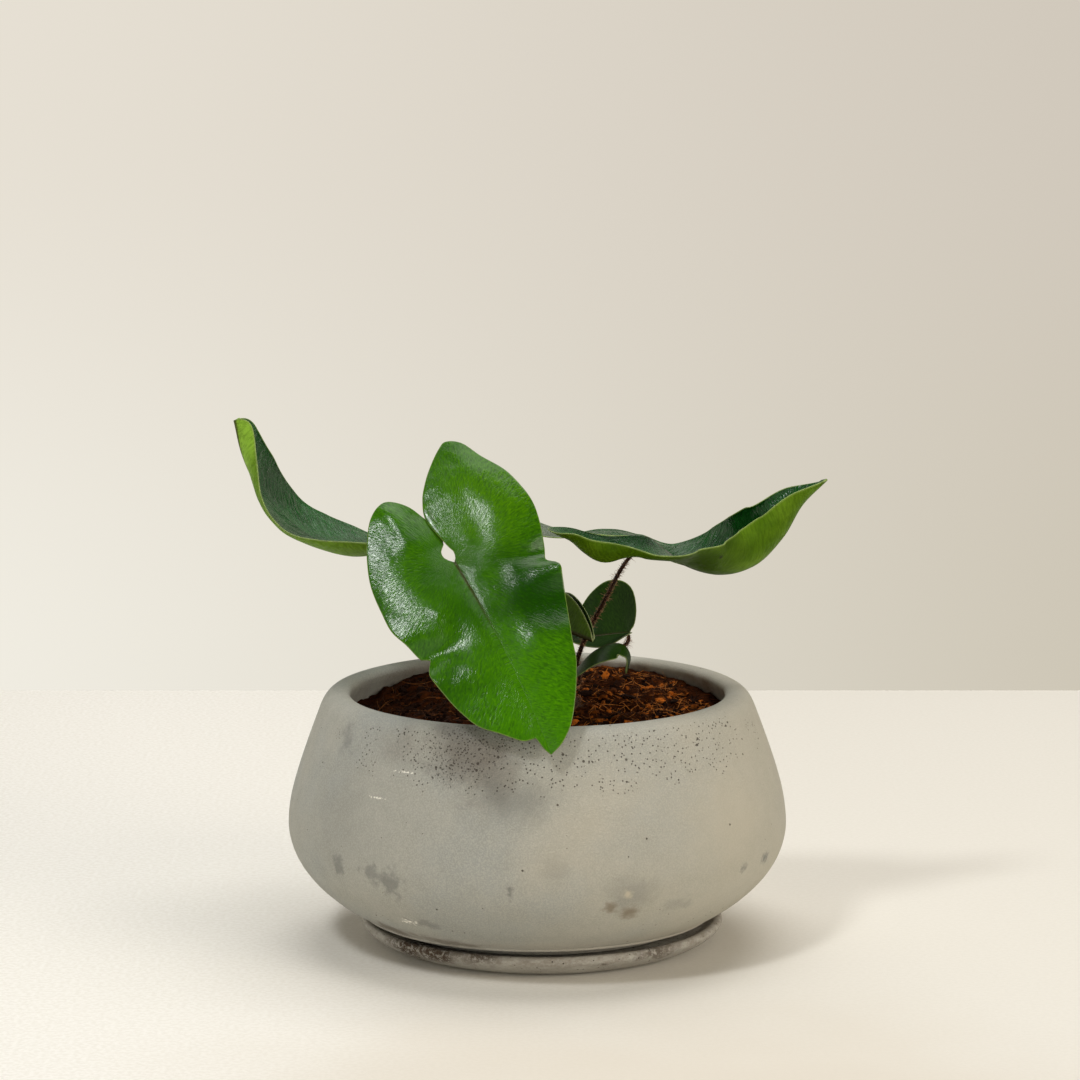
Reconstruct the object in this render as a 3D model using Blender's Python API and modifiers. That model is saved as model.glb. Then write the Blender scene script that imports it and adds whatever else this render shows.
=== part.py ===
"""A heart fern in a squat cast-concrete bowl that stands on its own saucer.

The front of the object faces -Y and +Z is up. The origin is the centre of the
saucer's flat underside. Lengths are in millimetres until a mesh is made.
"""

import math

import bmesh
import bpy
import numpy as np

MM = 0.001
GAP = 0.3

# Bowl and saucer.
BOWL_RADIUS = 65.1
BOWL_WIDEST_Z = 31.0
BOWL_BASE_RADIUS = 46.4
BOWL_BASE_Z = 8.5
LIP_OUTER_RADIUS = 56.8
LIP_OUTER_Z = 61.4
LIP_TOP_RADIUS = 51.8
LIP_TOP_Z = 66.2
LIP_INNER_RADIUS = 48.8
LIP_INNER_Z = 64.0
WALL = 6.0
FLOOR = 6.5
FOOT_RADIUS = 37.0
FOOT_WIDTH = 4.0
SAUCER_FLOOR_Z = 4.8
SAUCER_RADIUS = 47.3
SAUCER_TOP_Z = 6.8
SAUCER_BASE_RADIUS = 39.2
POT_SHIFT = -1.3
DRAIN_RADIUS = 5.0
ROUND_STEPS = 52
CUTTER_TURN = 7.0

# Potting mix and crown.
MIX_EDGE_Z = 58.8
MIX_MOUND = 2.2
MIX_BANK = 4.3
MIX_DIP = 2.4
MIX_RELIEF = 0.7
MIX_RINGS = 9
CROWN = np.array([5.0, 5.0])
CROWN_RADIUS = 6.4
CROWN_TOP_Z = 64.0
CROWN_DEPTH = 11.0
STALK_RING = 3.5
SOCKET_Z = 60.0

# Blades and stalks.
BLADE_THICKNESS = 0.7
BLADE_STEP = 3.2
BLADE_COLUMNS = 6
YOUNG_STEP = 1.8
YOUNG_COLUMNS = 4
OUTLINE_POINTS = 240
TIP_CROWDING = 1.35
STALK_BASE_RADIUS = 0.7
STALK_TOP_RADIUS = 0.5
STALK_POINTS = 13
STALK_CLEARANCE = 0.85

# One half of a grown blade laid flat, from the edge of the notch round the basal
# lobe to the tip: distance along the midrib from the stalk, then across it.
HEART_HALF = [
    (-5.0, 1.2), (-12.0, 2.0), (-18.0, 3.4), (-22.6, 7.0), (-24.0, 11.5), (-21.6, 16.6),
    (-16.0, 20.2), (-8.0, 22.4), (0.0, 23.0), (8.0, 22.4), (16.0, 21.0), (24.0, 19.0),
    (32.0, 16.4), (40.0, 12.8), (48.0, 8.6), (54.0, 4.6), (57.6, 1.7), (59.0, 0.0),
]
BLUNT_HALF = HEART_HALF[:-3] + [(54.0, 6.4), (57.6, 4.8), (59.2, 2.8), (59.5, 0.0)]

# The same for a young blade, which is rounder and hardly lobed.
YOUNG_HALF = [
    (-1.0, 0.8), (-3.4, 2.6), (-4.4, 7.0), (-2.4, 12.0), (2.0, 14.6), (8.0, 15.0),
    (14.0, 13.0), (20.0, 9.4), (25.0, 5.0), (27.5, 1.7), (28.0, 0.0),
]

# The blade that faces the front, laid flat. Its two halves differ: the upper one
# has the longer lobe, the lower one a pinch beside the tip.
FRONT_UPPER_HALF = [
    (-5.0, 0.0), (-12.8, -1.7), (-18.1, -0.2), (-21.8, 2.2), (-25.6, 5.6), (-29.8, 10.2),
    (-31.0, 12.8), (-28.8, 16.2), (-23.0, 18.8), (-17.0, 22.2), (-12.0, 23.8), (-7.0, 24.7),
    (-2.0, 24.2), (5.0, 22.4), (9.0, 21.0), (12.3, 23.2), (16.0, 22.4), (24.0, 20.0),
    (31.5, 17.8), (37.0, 16.4), (43.0, 13.6), (48.0, 10.6), (52.0, 7.6), (55.2, 3.6), (56.6, 0.0),
]
FRONT_LOWER_HALF = [
    (-5.0, 1.6), (-12.4, 3.0), (-18.0, 4.7), (-21.6, 8.0), (-21.6, 11.0), (-19.0, 14.4),
    (-14.0, 17.6), (-8.0, 20.4), (-2.0, 22.1), (5.5, 22.5), (11.0, 22.2), (16.0, 20.2),
    (20.5, 18.2), (21.6, 16.3), (24.0, 17.6), (27.0, 18.2), (33.5, 16.6), (38.0, 15.0),
    (42.5, 12.8), (46.5, 8.8), (50.6, 4.6), (51.0, 1.8), (54.6, 0.9), (56.6, 0.0),
]

# One entry for each frond. The midrib's rows are (along, x, y, z), with the stalk at 0.
# "across" points to the left half, for someone above it who looks towards the tip.
# A half's rows are (along, angle, bend): the degrees at which it leaves the midrib, and
# the radians per mm by which it then curls up. A ripple is (half, along, width, height).
# "scale" is along and across, "lobes" lengthens a half's basal lobe, "stalk" lists points
# that the stalk passes, and "seat" is the stalk's distance under the blade.
FRONDS = {
    "front": {
        "outline": {"left": FRONT_UPPER_HALF, "right": FRONT_LOWER_HALF},
        "midrib": [(-32, -35.0, -17.5, 128.5), (-15, -27.4, -27.2, 116.8), (0, -20.7, -35.0, 105.0),
                   (18, -13.2, -44.6, 91.8), (38, -4.8, -55.0, 76.6), (57, 3.6, -62.4, 61.4)],
        "across": (0.904, 0.226, 0.364),
        "left": [(-32, 10, -0.020), (0, 16, -0.022), (20, 14, -0.024), (40, 10, -0.022), (57, 6, -0.020)],
        "right": [(-32, 8, -0.020), (0, 16, -0.024), (20, 20, -0.030), (40, 12, -0.024), (57, 6, -0.020)],
        "ripples": [("left", 7, 3.5, -1.6), ("left", 14, 4.0, 1.4), ("right", 21, 3.5, -1.8),
                    ("right", 29, 5.0, 1.2), ("right", 51, 3.0, -1.0)],
        "stalk": [(3, 1, 75), (-6, -14, 93), (-15, -27, 102)],
    },
    "right": {
        "lobes": {"left": 0.74, "right": 1.08},
        "midrib": [(-24, 5.7, -8.0, 113.5), (-12, 17.0, -8.0, 109.5), (0, 28.6, -8.0, 107.2),
                   (10, 36.6, -7.6, 101.4), (20, 46.0, -7.0, 98.2), (30, 55.6, -6.5, 100.2),
                   (40, 62.8, -6.0, 107.2), (50, 68.0, -5.5, 115.8), (59, 74.3, -5.0, 122.0)],
        "across": (0.0, 1.0, 0.0),
        "right": [(-24, -36, 0.055), (-19, -46, 0.075), (-15, -66, 0.102), (-11, -82, 0.124),
                  (-7, -52, 0.078), (-3, -34, 0.049), (0, -30, 0.043), (10, 0, 0.031), (20, -5, 0.067),
                  (30, -2, 0.094), (40, 0, 0.136), (50, 0, 0.185), (59, 8, 0.200)],
        "left": [(-24, -44, 0.056), (-12, -37, 0.052), (0, -32, 0.040), (10, -21, 0.038),
                 (20, -8, 0.064), (30, 4, 0.091), (40, 20, 0.133), (50, 10, 0.177), (59, 8, 0.200)],
        "ripples": [],
        "stalk": [(12, 2, 78), (18, -3, 91), (22.5, -6, 100)],
    },
    "left": {
        "outline": {"left": BLUNT_HALF, "right": BLUNT_HALF},
        "lobes": {"left": 0.52, "right": 0.52},
        "midrib": [(-24, -15.8, 25.0, 103.9), (-12, -27.7, 25.0, 102.3), (0, -39.6, 25.0, 100.6),
                   (10, -49.4, 25.0, 99.4), (20, -58.8, 25.0, 101.6), (30, -66.8, 25.0, 107.6),
                   (40, -73.4, 25.0, 115.2), (50, -77.8, 25.0, 124.4), (59, -79.8, 25.0, 133.0)],
        "across": (0.0, -1.0, 0.0),
        "right": [(-24, -35, 0.051), (-12, -32, 0.041), (0, -27, 0.033), (10, -13, 0.034),
                  (20, -8, 0.040), (30, -9, 0.051), (40, 3, 0.070), (50, 32, 0.091), (59, 50, 0.100)],
        "left": [(-24, -34, 0.053), (-12, -25, 0.044), (0, -17, 0.039), (10, -12, 0.040),
                 (20, -10, 0.034), (30, -19, 0.036), (40, -15, 0.054), (50, 14, 0.078), (59, 50, 0.100)],
        "ripples": [],
        "stalk": [(-4, 10, 78), (-18, 18, 91), (-31, 23, 97)],
    },
    "back": {
        "scale": (0.86, 0.80),
        "midrib": [(-22, -1.0, 26.0, 102.0), (0, -9.0, 44.0, 102.0), (18, -16.0, 60.0, 101.0),
                   (34, -21.0, 73.5, 99.0), (51, -25.0, 87.0, 95.0)],
        "across": (-0.90, -0.38, 0.16),
        "right": [(-22, 4, 0.002), (0, 4, -0.002), (25, 10, -0.004), (51, 8, -0.004)],
        "left": [(-22, 4, 0.002), (0, 4, 0.002), (25, 10, -0.004), (51, 8, -0.004)],
        "ripples": [("left", 10, 6.0, 1.2), ("right", 22, 6.0, 1.2)],
        "stalk": [(3, 14, 77), (0, 27, 89), (-6, 38, 96)],
    },
    "young_upright": {
        "scale": (0.56, 0.95),
        "lobes": {"left": 0.25, "right": 0.8},
        "midrib": [(-4, 28.1, 21.0, 77.0), (0, 24.3, 21.0, 77.0), (8, 16.4, 20.8, 76.4),
                   (15.7, 8.8, 20.4, 75.2)],
        "across": (0.0, -1.0, 0.0),
        "right": [(-4, 70, 0.014), (0, 72, 0.014), (8, 66, 0.014), (12, 52, 0.014), (15.7, 45, 0.014)],
        "left": [(-4, 14, -0.004), (0, 11, -0.004), (8, 0, -0.010), (15.7, -6, -0.010)],
        "ripples": [],
        "stalk": [(11.0, 9.6, 69), (18.0, 14.4, 73), (23.4, 18.6, 74.3)],
    },
    "young_folded": {
        "scale": (0.75, 0.62),
        "midrib": [(-3, 3.2, 4.4, 81.6), (0, 4.6, 1.8, 82.0), (6, 7.0, -2.4, 82.2), (12, 9.9, -7.4, 82.0),
                   (21, 14.2, -15.0, 81.6)],
        "across": (0.87, 0.5, 0.0),
        "right": [(-3, 84, 0.010), (0, 88, 0.010), (10, 92, 0.008), (21, 92, 0.008)],
        "left": [(-3, 70, 0.010), (0, 72, 0.010), (10, 74, 0.010), (21, 72, 0.010)],
        "ripples": [],
        "stalk": [(4.9, 1.4, 69), (4.8, 1.8, 76)],
        "seat": 0.4,
    },
    "young_low": {
        "scale": (0.8, 0.45),
        "midrib": [(-4, 7.4, -4.0, 69.2), (0, 10.0, -4.0, 72.2), (8, 15.8, -4.0, 77.6), (11.5, 19.4, -4.2, 79.0),
                   (15, 22.8, -4.6, 78.4), (18, 24.3, -5.2, 75.8), (22.4, 23.3, -6.4, 71.2)],
        "across": (0.0, 1.0, 0.0),
        "right": [(-4, -2, -0.010), (0, -6, -0.010), (8, -22, -0.020), (14, -40, -0.020), (22.4, -20, -0.020)],
        "left": [(-4, -20, -0.020), (0, -20, -0.020), (12, -24, -0.020), (22.4, -12, -0.020)],
        "ripples": [],
        "stalk": [(9.6, -0.4, 66.8), (11.0, -2.6, 68.6)],
    },
}
YOUNG = ("young_upright", "young_folded", "young_low")
for name in YOUNG:
    FRONDS[name]["outline"] = {"left": YOUNG_HALF, "right": YOUNG_HALF}

# Where round the crown's ring each stalk stands, in degrees.
STALK_ANGLES = {"right": -5, "young_upright": 45, "back": 95, "left": 150, "front": 215,
                "young_folded": 265, "young_low": 315}


def smooth_line(points, count):
    """Count points, evenly spaced, on a smooth line through the given ones."""
    points = np.array(points, float)
    ends = np.vstack([2 * points[0] - points[1], points, 2 * points[-1] - points[-2]])
    u = np.linspace(0.0, 1.0, 12, endpoint=False)[:, None]
    line = []
    for a, b, c, d in zip(ends, ends[1:], ends[2:], ends[3:]):
        bow = (2 * a - 5 * b + 4 * c - d) * u**2 + (3 * b - a - 3 * c + d) * u**3
        line.append(0.5 * (2 * b + (c - a) * u + bow))
    line = np.vstack(line + [points[-1:]])
    run = np.concatenate([[0.0], np.cumsum(np.linalg.norm(np.diff(line, axis=0), axis=1))])
    at = np.linspace(0.0, run[-1], count)
    return np.stack([np.interp(at, run, column) for column in line.T], axis=1)


def blend(rows, along):
    """Smooth values at the distances along, from rows that each start with their distance.

    Past the first and the last row the values run on in a straight line.
    """
    rows = np.array(rows, float)
    x, y = rows[:, 0], rows[:, 1:]
    slope = np.gradient(y, x, axis=0)
    inside = np.clip(along, x[0], x[-1])
    k = np.clip(np.searchsorted(x, inside, side="right") - 1, 0, len(x) - 2)
    width = (x[k + 1] - x[k])[..., None]
    t = (inside - x[k])[..., None] / width
    value = (1 + 2 * t) * (1 - t) ** 2 * y[k] + t**2 * (3 - 2 * t) * y[k + 1]
    value += width * (t * (1 - t) ** 2 * slope[k] + t**2 * (t - 1) * slope[k + 1])
    beyond = (along - inside)[..., None]
    return value + beyond * np.where(beyond < 0, slope[0], slope[-1])


def unit(vectors):
    return vectors / np.linalg.norm(vectors, axis=-1, keepdims=True)


def midrib_frame(frond, along):
    """The midrib's point, the direction to its left and the one up from its face."""
    point = blend(frond["midrib"], along)
    ahead = unit(blend(frond["midrib"], along + 0.5) - blend(frond["midrib"], along - 0.5))
    left = np.array(frond["across"]) * np.ones_like(point)
    left = unit(left - (left * ahead).sum(-1, keepdims=True) * ahead)
    return point, left, np.cross(ahead, left)


def bend_half(frond, side, flat):
    """Carries flat (along, across) points of one half onto the curled blade."""
    along, across = flat[..., 0], flat[..., 1]
    point, left, up = midrib_frame(frond, along)
    angle, bend = np.moveaxis(blend(frond[side], along), -1, 0)
    angle = np.radians(angle)
    bend = np.where(np.abs(bend) < 1e-4, 1e-4, bend)
    out = (np.sin(angle + bend * across) - np.sin(angle)) / bend
    rise = (np.cos(angle) - np.cos(angle + bend * across)) / bend
    for half, place, width, height in frond["ripples"]:
        if half == side:
            rise = rise + height * np.exp(-(((along - place) / width) ** 2)) * (across / 18.0) ** 2
    turn = 1.0 if side == "left" else -1.0
    return point + turn * out[..., None] * left + rise[..., None] * up


def flat_half(frond, side, step, columns):
    """Flat (along, across) points of one half, in rows from the lobe's end to the tip.

    Each row runs from the midrib, or behind the stalk from the notch, out to the margin.
    The rows stand closer towards the tip and towards the end of the lobe.
    """
    scale = np.array(frond.get("scale", (1.0, 1.0)))
    outline = scale * np.array(frond.get("outline", {}).get(side, HEART_HALF))
    lobe = frond.get("lobes", {}).get(side, 1.0)
    outline[:, 0] = np.where(outline[:, 0] < 0.0, lobe * outline[:, 0], outline[:, 0])
    line = smooth_line(outline, OUTLINE_POINTS)
    last = np.argmin(line[:, 0])
    back, front = line[last, 0], line[-1, 0]
    behind = back * np.sin(np.linspace(math.pi / 2, 0.0, 1 + int(-back / step), endpoint=False))
    ahead = front * (1.0 - np.linspace(1.0, 0.0, 2 + int(front / step)) ** TIP_CROWDING)
    along = np.concatenate([behind, ahead])
    notch = np.vstack([line[last::-1], [(0.0, 0.0)]])
    inner = np.interp(along, notch[:, 0], notch[:, 1])
    outer = np.interp(along, line[last:, 0], line[last:, 1])
    share = np.linspace(0.0, 1.0, columns + 1)
    across = inner[:, None] + (outer - inner)[:, None] * share
    return np.stack([along[:, None] + 0.0 * share, across], axis=-1)


def new_object(name, mesh, collection, smooth_angle=None):
    item = bpy.data.objects.new(name, mesh)
    collection.objects.link(item)
    if smooth_angle is not None:
        mesh.shade_smooth()
        mesh.set_sharp_from_angle(angle=math.radians(smooth_angle))
    return item


def material(name, color, roughness):
    item = bpy.data.materials.new(name)
    item.use_nodes = True
    shader = item.node_tree.nodes["Principled BSDF"]
    shader.inputs["Base Color"].default_value = (*color, 1.0)
    shader.inputs["Roughness"].default_value = roughness
    shader.inputs["Metallic"].default_value = 0.0
    item.diffuse_color = (*color, 1.0)
    return item


def make_blade(name, frond, step, columns, collection, paint):
    """A thin blade: each half a curled grid of triangles, joined along the midrib."""
    points, faces = [], []
    for side in ("right", "left"):
        grid = bend_half(frond, side, flat_half(frond, side, step, columns))
        row, column = np.indices((len(grid) - 1, columns)).reshape(2, -1)
        a = len(points) + row * (columns + 1) + column
        b = a + columns + 1
        corners = np.stack([a, a + 1, b + 1, a, b + 1, b], axis=-1).reshape(-1, 3)
        faces += corners.tolist() if side == "right" else corners[:, ::-1].tolist()
        points += (grid.reshape(-1, 3) * MM).tolist()
    mesh = bpy.data.meshes.new(name)
    mesh.from_pydata(points, [], faces)
    work = bmesh.new()
    work.from_mesh(mesh)
    bmesh.ops.remove_doubles(work, verts=work.verts, dist=1e-5)
    work.to_mesh(mesh)
    work.free()
    mesh.materials.append(paint)
    item = new_object(name, mesh, collection, 60)
    sheet = item.modifiers.new("thickness", "SOLIDIFY")
    sheet.thickness = BLADE_THICKNESS * MM
    sheet.offset = -1.0
    sheet.use_quality_normals = True


def as_mesh_object(source, name, collection):
    """Replaces a modelled object by its evaluated mesh, with the loose caps welded."""
    bpy.context.view_layer.update()
    graph = bpy.context.evaluated_depsgraph_get()
    mesh = bpy.data.meshes.new_from_object(source.evaluated_get(graph))
    work = bmesh.new()
    work.from_mesh(mesh)
    bmesh.ops.remove_doubles(work, verts=work.verts, dist=1e-6)
    work.to_mesh(mesh)
    work.free()
    bpy.data.objects.remove(source)
    mesh.name = name
    return new_object(name, mesh, collection)


def turned(name, profile, collection, paint, steps=ROUND_STEPS):
    """Turns a closed (radius, height) profile round the Z axis."""
    count = len(profile)
    mesh = bpy.data.meshes.new(name)
    points = [(radius * MM, 0.0, height * MM) for radius, height in profile]
    mesh.from_pydata(points, [(i, (i + 1) % count) for i in range(count)], [])
    mesh.materials.append(paint)
    item = new_object(name, mesh, collection)
    screw = item.modifiers.new("turn", "SCREW")
    screw.steps = steps
    screw.render_steps = steps
    screw.use_merge_vertices = True
    screw.merge_threshold = 0.00005
    screw.use_smooth_shade = True
    return item


def bezier(start, start_handle, end_handle, end, count):
    """Points on a cubic curve, without its last one."""
    t = np.linspace(0.0, 1.0, count, endpoint=False)[:, None]
    start, start_handle, end_handle, end = map(np.array, (start, start_handle, end_handle, end))
    curve = (1 - t) ** 3 * start + 3 * t * (1 - t) ** 2 * start_handle
    return list(map(tuple, curve + 3 * t**2 * (1 - t) * end_handle + t**3 * end))


def inner_wall(clearance, lowest, count):
    """The bowl's inner wall from under the lip down to its floor, moved in by a clearance."""
    lip = (LIP_INNER_RADIUS - clearance, LIP_INNER_Z)
    belly = (BOWL_RADIUS - WALL - clearance, BOWL_WIDEST_Z + 2.0)
    low = (BOWL_BASE_RADIUS - WALL - clearance, lowest)
    upper = bezier(lip, (lip[0] + 5.5, 54.0), (belly[0], 43.0), belly, count)
    lower = bezier(belly, (belly[0], 22.0), (low[0] + 8.0, lowest), low, count)
    return upper + lower + [low]


def make_bowl(collection):
    """Cast bowl: straight shoulder, full belly, rolled lip, foot ring and drain hole."""
    floor_z = BOWL_BASE_Z + FLOOR
    foot_z = SAUCER_FLOOR_Z + GAP
    profile = bezier((LIP_TOP_RADIUS, LIP_TOP_Z), (LIP_TOP_RADIUS + 2.6, LIP_TOP_Z),
                     (LIP_OUTER_RADIUS - 1.0, LIP_OUTER_Z + 2.7), (LIP_OUTER_RADIUS, LIP_OUTER_Z), 4)
    profile += bezier((LIP_OUTER_RADIUS, LIP_OUTER_Z), (LIP_OUTER_RADIUS + 4.6, 49.0),
                      (BOWL_RADIUS, 39.5), (BOWL_RADIUS, BOWL_WIDEST_Z), 5)
    profile += bezier((BOWL_RADIUS, BOWL_WIDEST_Z), (BOWL_RADIUS, 22.0),
                      (BOWL_BASE_RADIUS + 10.5, 13.4), (BOWL_BASE_RADIUS, BOWL_BASE_Z + 0.7), 6)
    profile += [(BOWL_BASE_RADIUS, BOWL_BASE_Z + 0.7), (BOWL_BASE_RADIUS - 0.8, BOWL_BASE_Z)]
    profile += [(FOOT_RADIUS + FOOT_WIDTH, BOWL_BASE_Z), (FOOT_RADIUS + FOOT_WIDTH - 0.6, foot_z)]
    profile += [(FOOT_RADIUS, foot_z), (FOOT_RADIUS - 0.6, BOWL_BASE_Z - 1.0)]
    profile += [(DRAIN_RADIUS, BOWL_BASE_Z - 1.0), (DRAIN_RADIUS, floor_z)]
    profile += inner_wall(0.0, floor_z, 4)[::-1]
    profile += bezier((LIP_INNER_RADIUS, LIP_INNER_Z), (LIP_INNER_RADIUS - 0.1, LIP_INNER_Z + 1.6),
                      (LIP_TOP_RADIUS - 2.0, LIP_TOP_Z), (LIP_TOP_RADIUS, LIP_TOP_Z), 3)[1:]
    concrete = material("cast_concrete", (0.36, 0.35, 0.31), 0.8)
    turned("bowl", profile, collection, concrete)


def make_saucer(collection):
    """Flat dish of the same concrete: narrow base, flared side, low rounded rim."""
    profile = bezier((SAUCER_RADIUS - 1.2, SAUCER_TOP_Z), (SAUCER_RADIUS - 0.3, SAUCER_TOP_Z),
                     (SAUCER_RADIUS, SAUCER_TOP_Z - 0.5), (SAUCER_RADIUS, SAUCER_TOP_Z - 1.4), 3)
    profile += bezier((SAUCER_RADIUS, SAUCER_TOP_Z - 1.4), (SAUCER_RADIUS - 0.6, 3.0),
                      (SAUCER_BASE_RADIUS + 3.4, 0.5), (SAUCER_BASE_RADIUS, 0.0), 5)
    profile += [(SAUCER_BASE_RADIUS, 0.0), (0.0, 0.0), (0.0, SAUCER_FLOOR_Z)]
    profile += [(SAUCER_RADIUS - 4.6, SAUCER_FLOOR_Z), (SAUCER_RADIUS - 3.0, SAUCER_FLOOR_Z + 0.7)]
    profile += [(SAUCER_RADIUS - 2.3, SAUCER_TOP_Z - 0.4)]
    concrete = material("saucer_concrete", (0.31, 0.295, 0.25), 0.8)
    turned("saucer", profile, collection, concrete)


def mix_height(x, y):
    """Top of the potting mix: low at the left, banked up at the back, crumbly all over."""
    radius = np.hypot(x, y)
    mound = MIX_MOUND * np.exp(-((np.hypot(x - CROWN[0], y - CROWN[1]) / 16.0) ** 2))
    bank = MIX_BANK * (0.5 + 0.5 * np.sin(np.pi * (np.clip(y, 0.0, 46.0) / 46.0 - 0.5)))
    dip = -MIX_DIP * np.exp(-((x + 46.0) ** 2 + (y - 14.0) ** 2) / 260.0)
    relief = np.sin(0.41 * x + 1.3) * np.cos(0.37 * y - 0.4) + 0.7 * np.sin(0.23 * x - 0.52 * y)
    rough = MIX_RELIEF * relief * np.clip((50.0 - radius) / 12.0, 0.2, 1.0)
    return MIX_EDGE_Z + mound + bank + dip + rough


def make_mix(collection, cutters):
    """Potting mix that fills the bowl, with a plain hole for the crown."""
    wall = inner_wall(GAP, BOWL_BASE_Z + FLOOR + GAP, 4)
    edge = [point for point in wall if point[1] < MIX_EDGE_Z - MIX_DIP - 2.0]
    rings = [(LIP_INNER_RADIUS * k / MIX_RINGS, MIX_EDGE_Z) for k in range(MIX_RINGS + 1)]
    profile = rings + edge + [(0.0, edge[-1][1])]
    dirt = material("potting_mix", (0.06, 0.028, 0.014), 0.95)
    blank = turned("mix_blank", profile, collection, dirt, 36)
    item = as_mesh_object(blank, "potting_mix", collection)
    reach, height = np.array(wall[::-1]).T
    for vertex in item.data.vertices:
        if vertex.co.z < (MIX_EDGE_Z - 0.1) * MM:
            continue
        vertex.co.z = mix_height(vertex.co.x / MM, vertex.co.y / MM) * MM
        if vertex.co.xy.length > (LIP_INNER_RADIUS - 0.1) * MM:
            vertex.co.xy *= np.interp(vertex.co.z / MM, height, reach) / LIP_INNER_RADIUS
    low = CROWN_TOP_Z - CROWN_DEPTH - GAP
    drill = cylinder("crown_hole", CROWN_RADIUS + GAP, low, CROWN_TOP_Z + CROWN_DEPTH, CROWN, 20)
    cutters.objects.link(drill)
    cut(item, drill)
    return item


def cylinder(name, radius, low, high, centre, sides):
    mesh = bpy.data.meshes.new(name)
    work = bmesh.new()
    bmesh.ops.create_cone(work, cap_ends=True, segments=sides, radius1=radius * MM,
                          radius2=radius * MM, depth=(high - low) * MM)
    work.to_mesh(mesh)
    work.free()
    item = bpy.data.objects.new(name, mesh)
    item.location = (centre[0] * MM, centre[1] * MM, (low + high) / 2 * MM)
    item.rotation_euler.z = math.radians(CUTTER_TURN)
    item.hide_render = True
    item.display_type = "WIRE"
    return item


def cut(item, cutter):
    change = item.modifiers.new("cut " + cutter.name, "BOOLEAN")
    change.operation = "DIFFERENCE"
    change.object = cutter


def socket_of(name):
    """Where a stalk leaves the crown: the fronds stand in a ring, in this order."""
    turn = math.radians(STALK_ANGLES[name])
    return CROWN + STALK_RING * np.array([math.cos(turn), math.sin(turn)])


def make_crown(collection, cutters):
    """Short upright rhizome, half sunk in the mix, with a plain socket for each stalk."""
    low = CROWN_TOP_Z - CROWN_DEPTH
    profile = [(0.0, CROWN_TOP_Z), (3.2, CROWN_TOP_Z - 0.2), (5.2, CROWN_TOP_Z - 1.2)]
    profile += [(CROWN_RADIUS, CROWN_TOP_Z - 3.2), (CROWN_RADIUS, low + 3.0), (4.4, low), (0.0, low)]
    bark = material("rhizome", (0.07, 0.035, 0.018), 0.8)
    blank = turned("crown_blank", profile, collection, bark, 20)
    item = as_mesh_object(blank, "rhizome", collection)
    item.location = (CROWN[0] * MM, CROWN[1] * MM, 0.0)
    for name in FRONDS:
        radius = STALK_BASE_RADIUS + GAP
        drill = cylinder("socket_" + name, radius, SOCKET_Z, CROWN_TOP_Z + 4.0, socket_of(name), 10)
        cutters.objects.link(drill)
        cut(item, drill)


def stalk_line(name):
    """The stalk's centre line: up out of its socket, along its route, to the blade's back."""
    frond = FRONDS[name]
    x, y = socket_of(name)
    joint, _, up = midrib_frame(frond, np.array([0.0]))
    top = joint[0] - (BLADE_THICKNESS + frond.get("seat", STALK_CLEARANCE)) * up[0]
    socket = [(x, y, SOCKET_Z + GAP), (x, y, SOCKET_Z + 2.5), (x, y, CROWN_TOP_Z + 1.5)]
    route = socket + frond["stalk"] + [tuple(top)]
    return smooth_line(route, STALK_POINTS)


def make_stalk(name, collection, paint):
    line = stalk_line(name)
    curve = bpy.data.curves.new(name + "_stalk", "CURVE")
    curve.dimensions = "3D"
    curve.bevel_depth = STALK_BASE_RADIUS * MM
    curve.bevel_resolution = 2
    curve.use_fill_caps = True
    spline = curve.splines.new("POLY")
    spline.points.add(len(line) - 1)
    slim = np.linspace(1.0, STALK_TOP_RADIUS / STALK_BASE_RADIUS, len(line))
    for place, point, radius in zip(line, spline.points, slim):
        point.co = (*(place * MM), 1.0)
        point.radius = radius
    curve.materials.append(paint)
    collection.objects.link(bpy.data.objects.new(name + "_stalk", curve))


def make_fronds(collection):
    blade_green = material("blade", (0.05, 0.2, 0.015), 0.4)
    young_green = material("young_blade", (0.02, 0.07, 0.015), 0.45)
    stalk_brown = material("stalk", (0.03, 0.015, 0.01), 0.5)
    for name, frond in FRONDS.items():
        if name in YOUNG:
            make_blade(name + "_blade", frond, YOUNG_STEP, YOUNG_COLUMNS, collection, young_green)
        else:
            make_blade(name + "_blade", frond, BLADE_STEP, BLADE_COLUMNS, collection, blade_green)
        make_stalk(name, collection, stalk_brown)


def main():
    for item in list(bpy.data.objects):
        bpy.data.objects.remove(item)
    fern = bpy.data.collections.new("heart_fern")
    cutters = bpy.data.collections.new("cutters")
    for collection in (fern, cutters):
        bpy.context.scene.collection.children.link(collection)
    cutters.hide_render = True
    make_bowl(fern)
    make_saucer(fern)
    make_mix(fern, cutters)
    make_crown(fern, cutters)
    make_fronds(fern)
    for item in list(fern.objects) + list(cutters.objects):
        if item.name != "saucer":
            item.location.x += POT_SHIFT * MM


main()
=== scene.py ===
"""A heart fern in a squat cast-concrete bowl on its saucer: the finish of every piece.

The front of the object faces -Y and +Z is up. Lengths are in millimetres until a
mesh is made. The sections follow the object as it is put together, from the table up.
"""

import math

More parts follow.
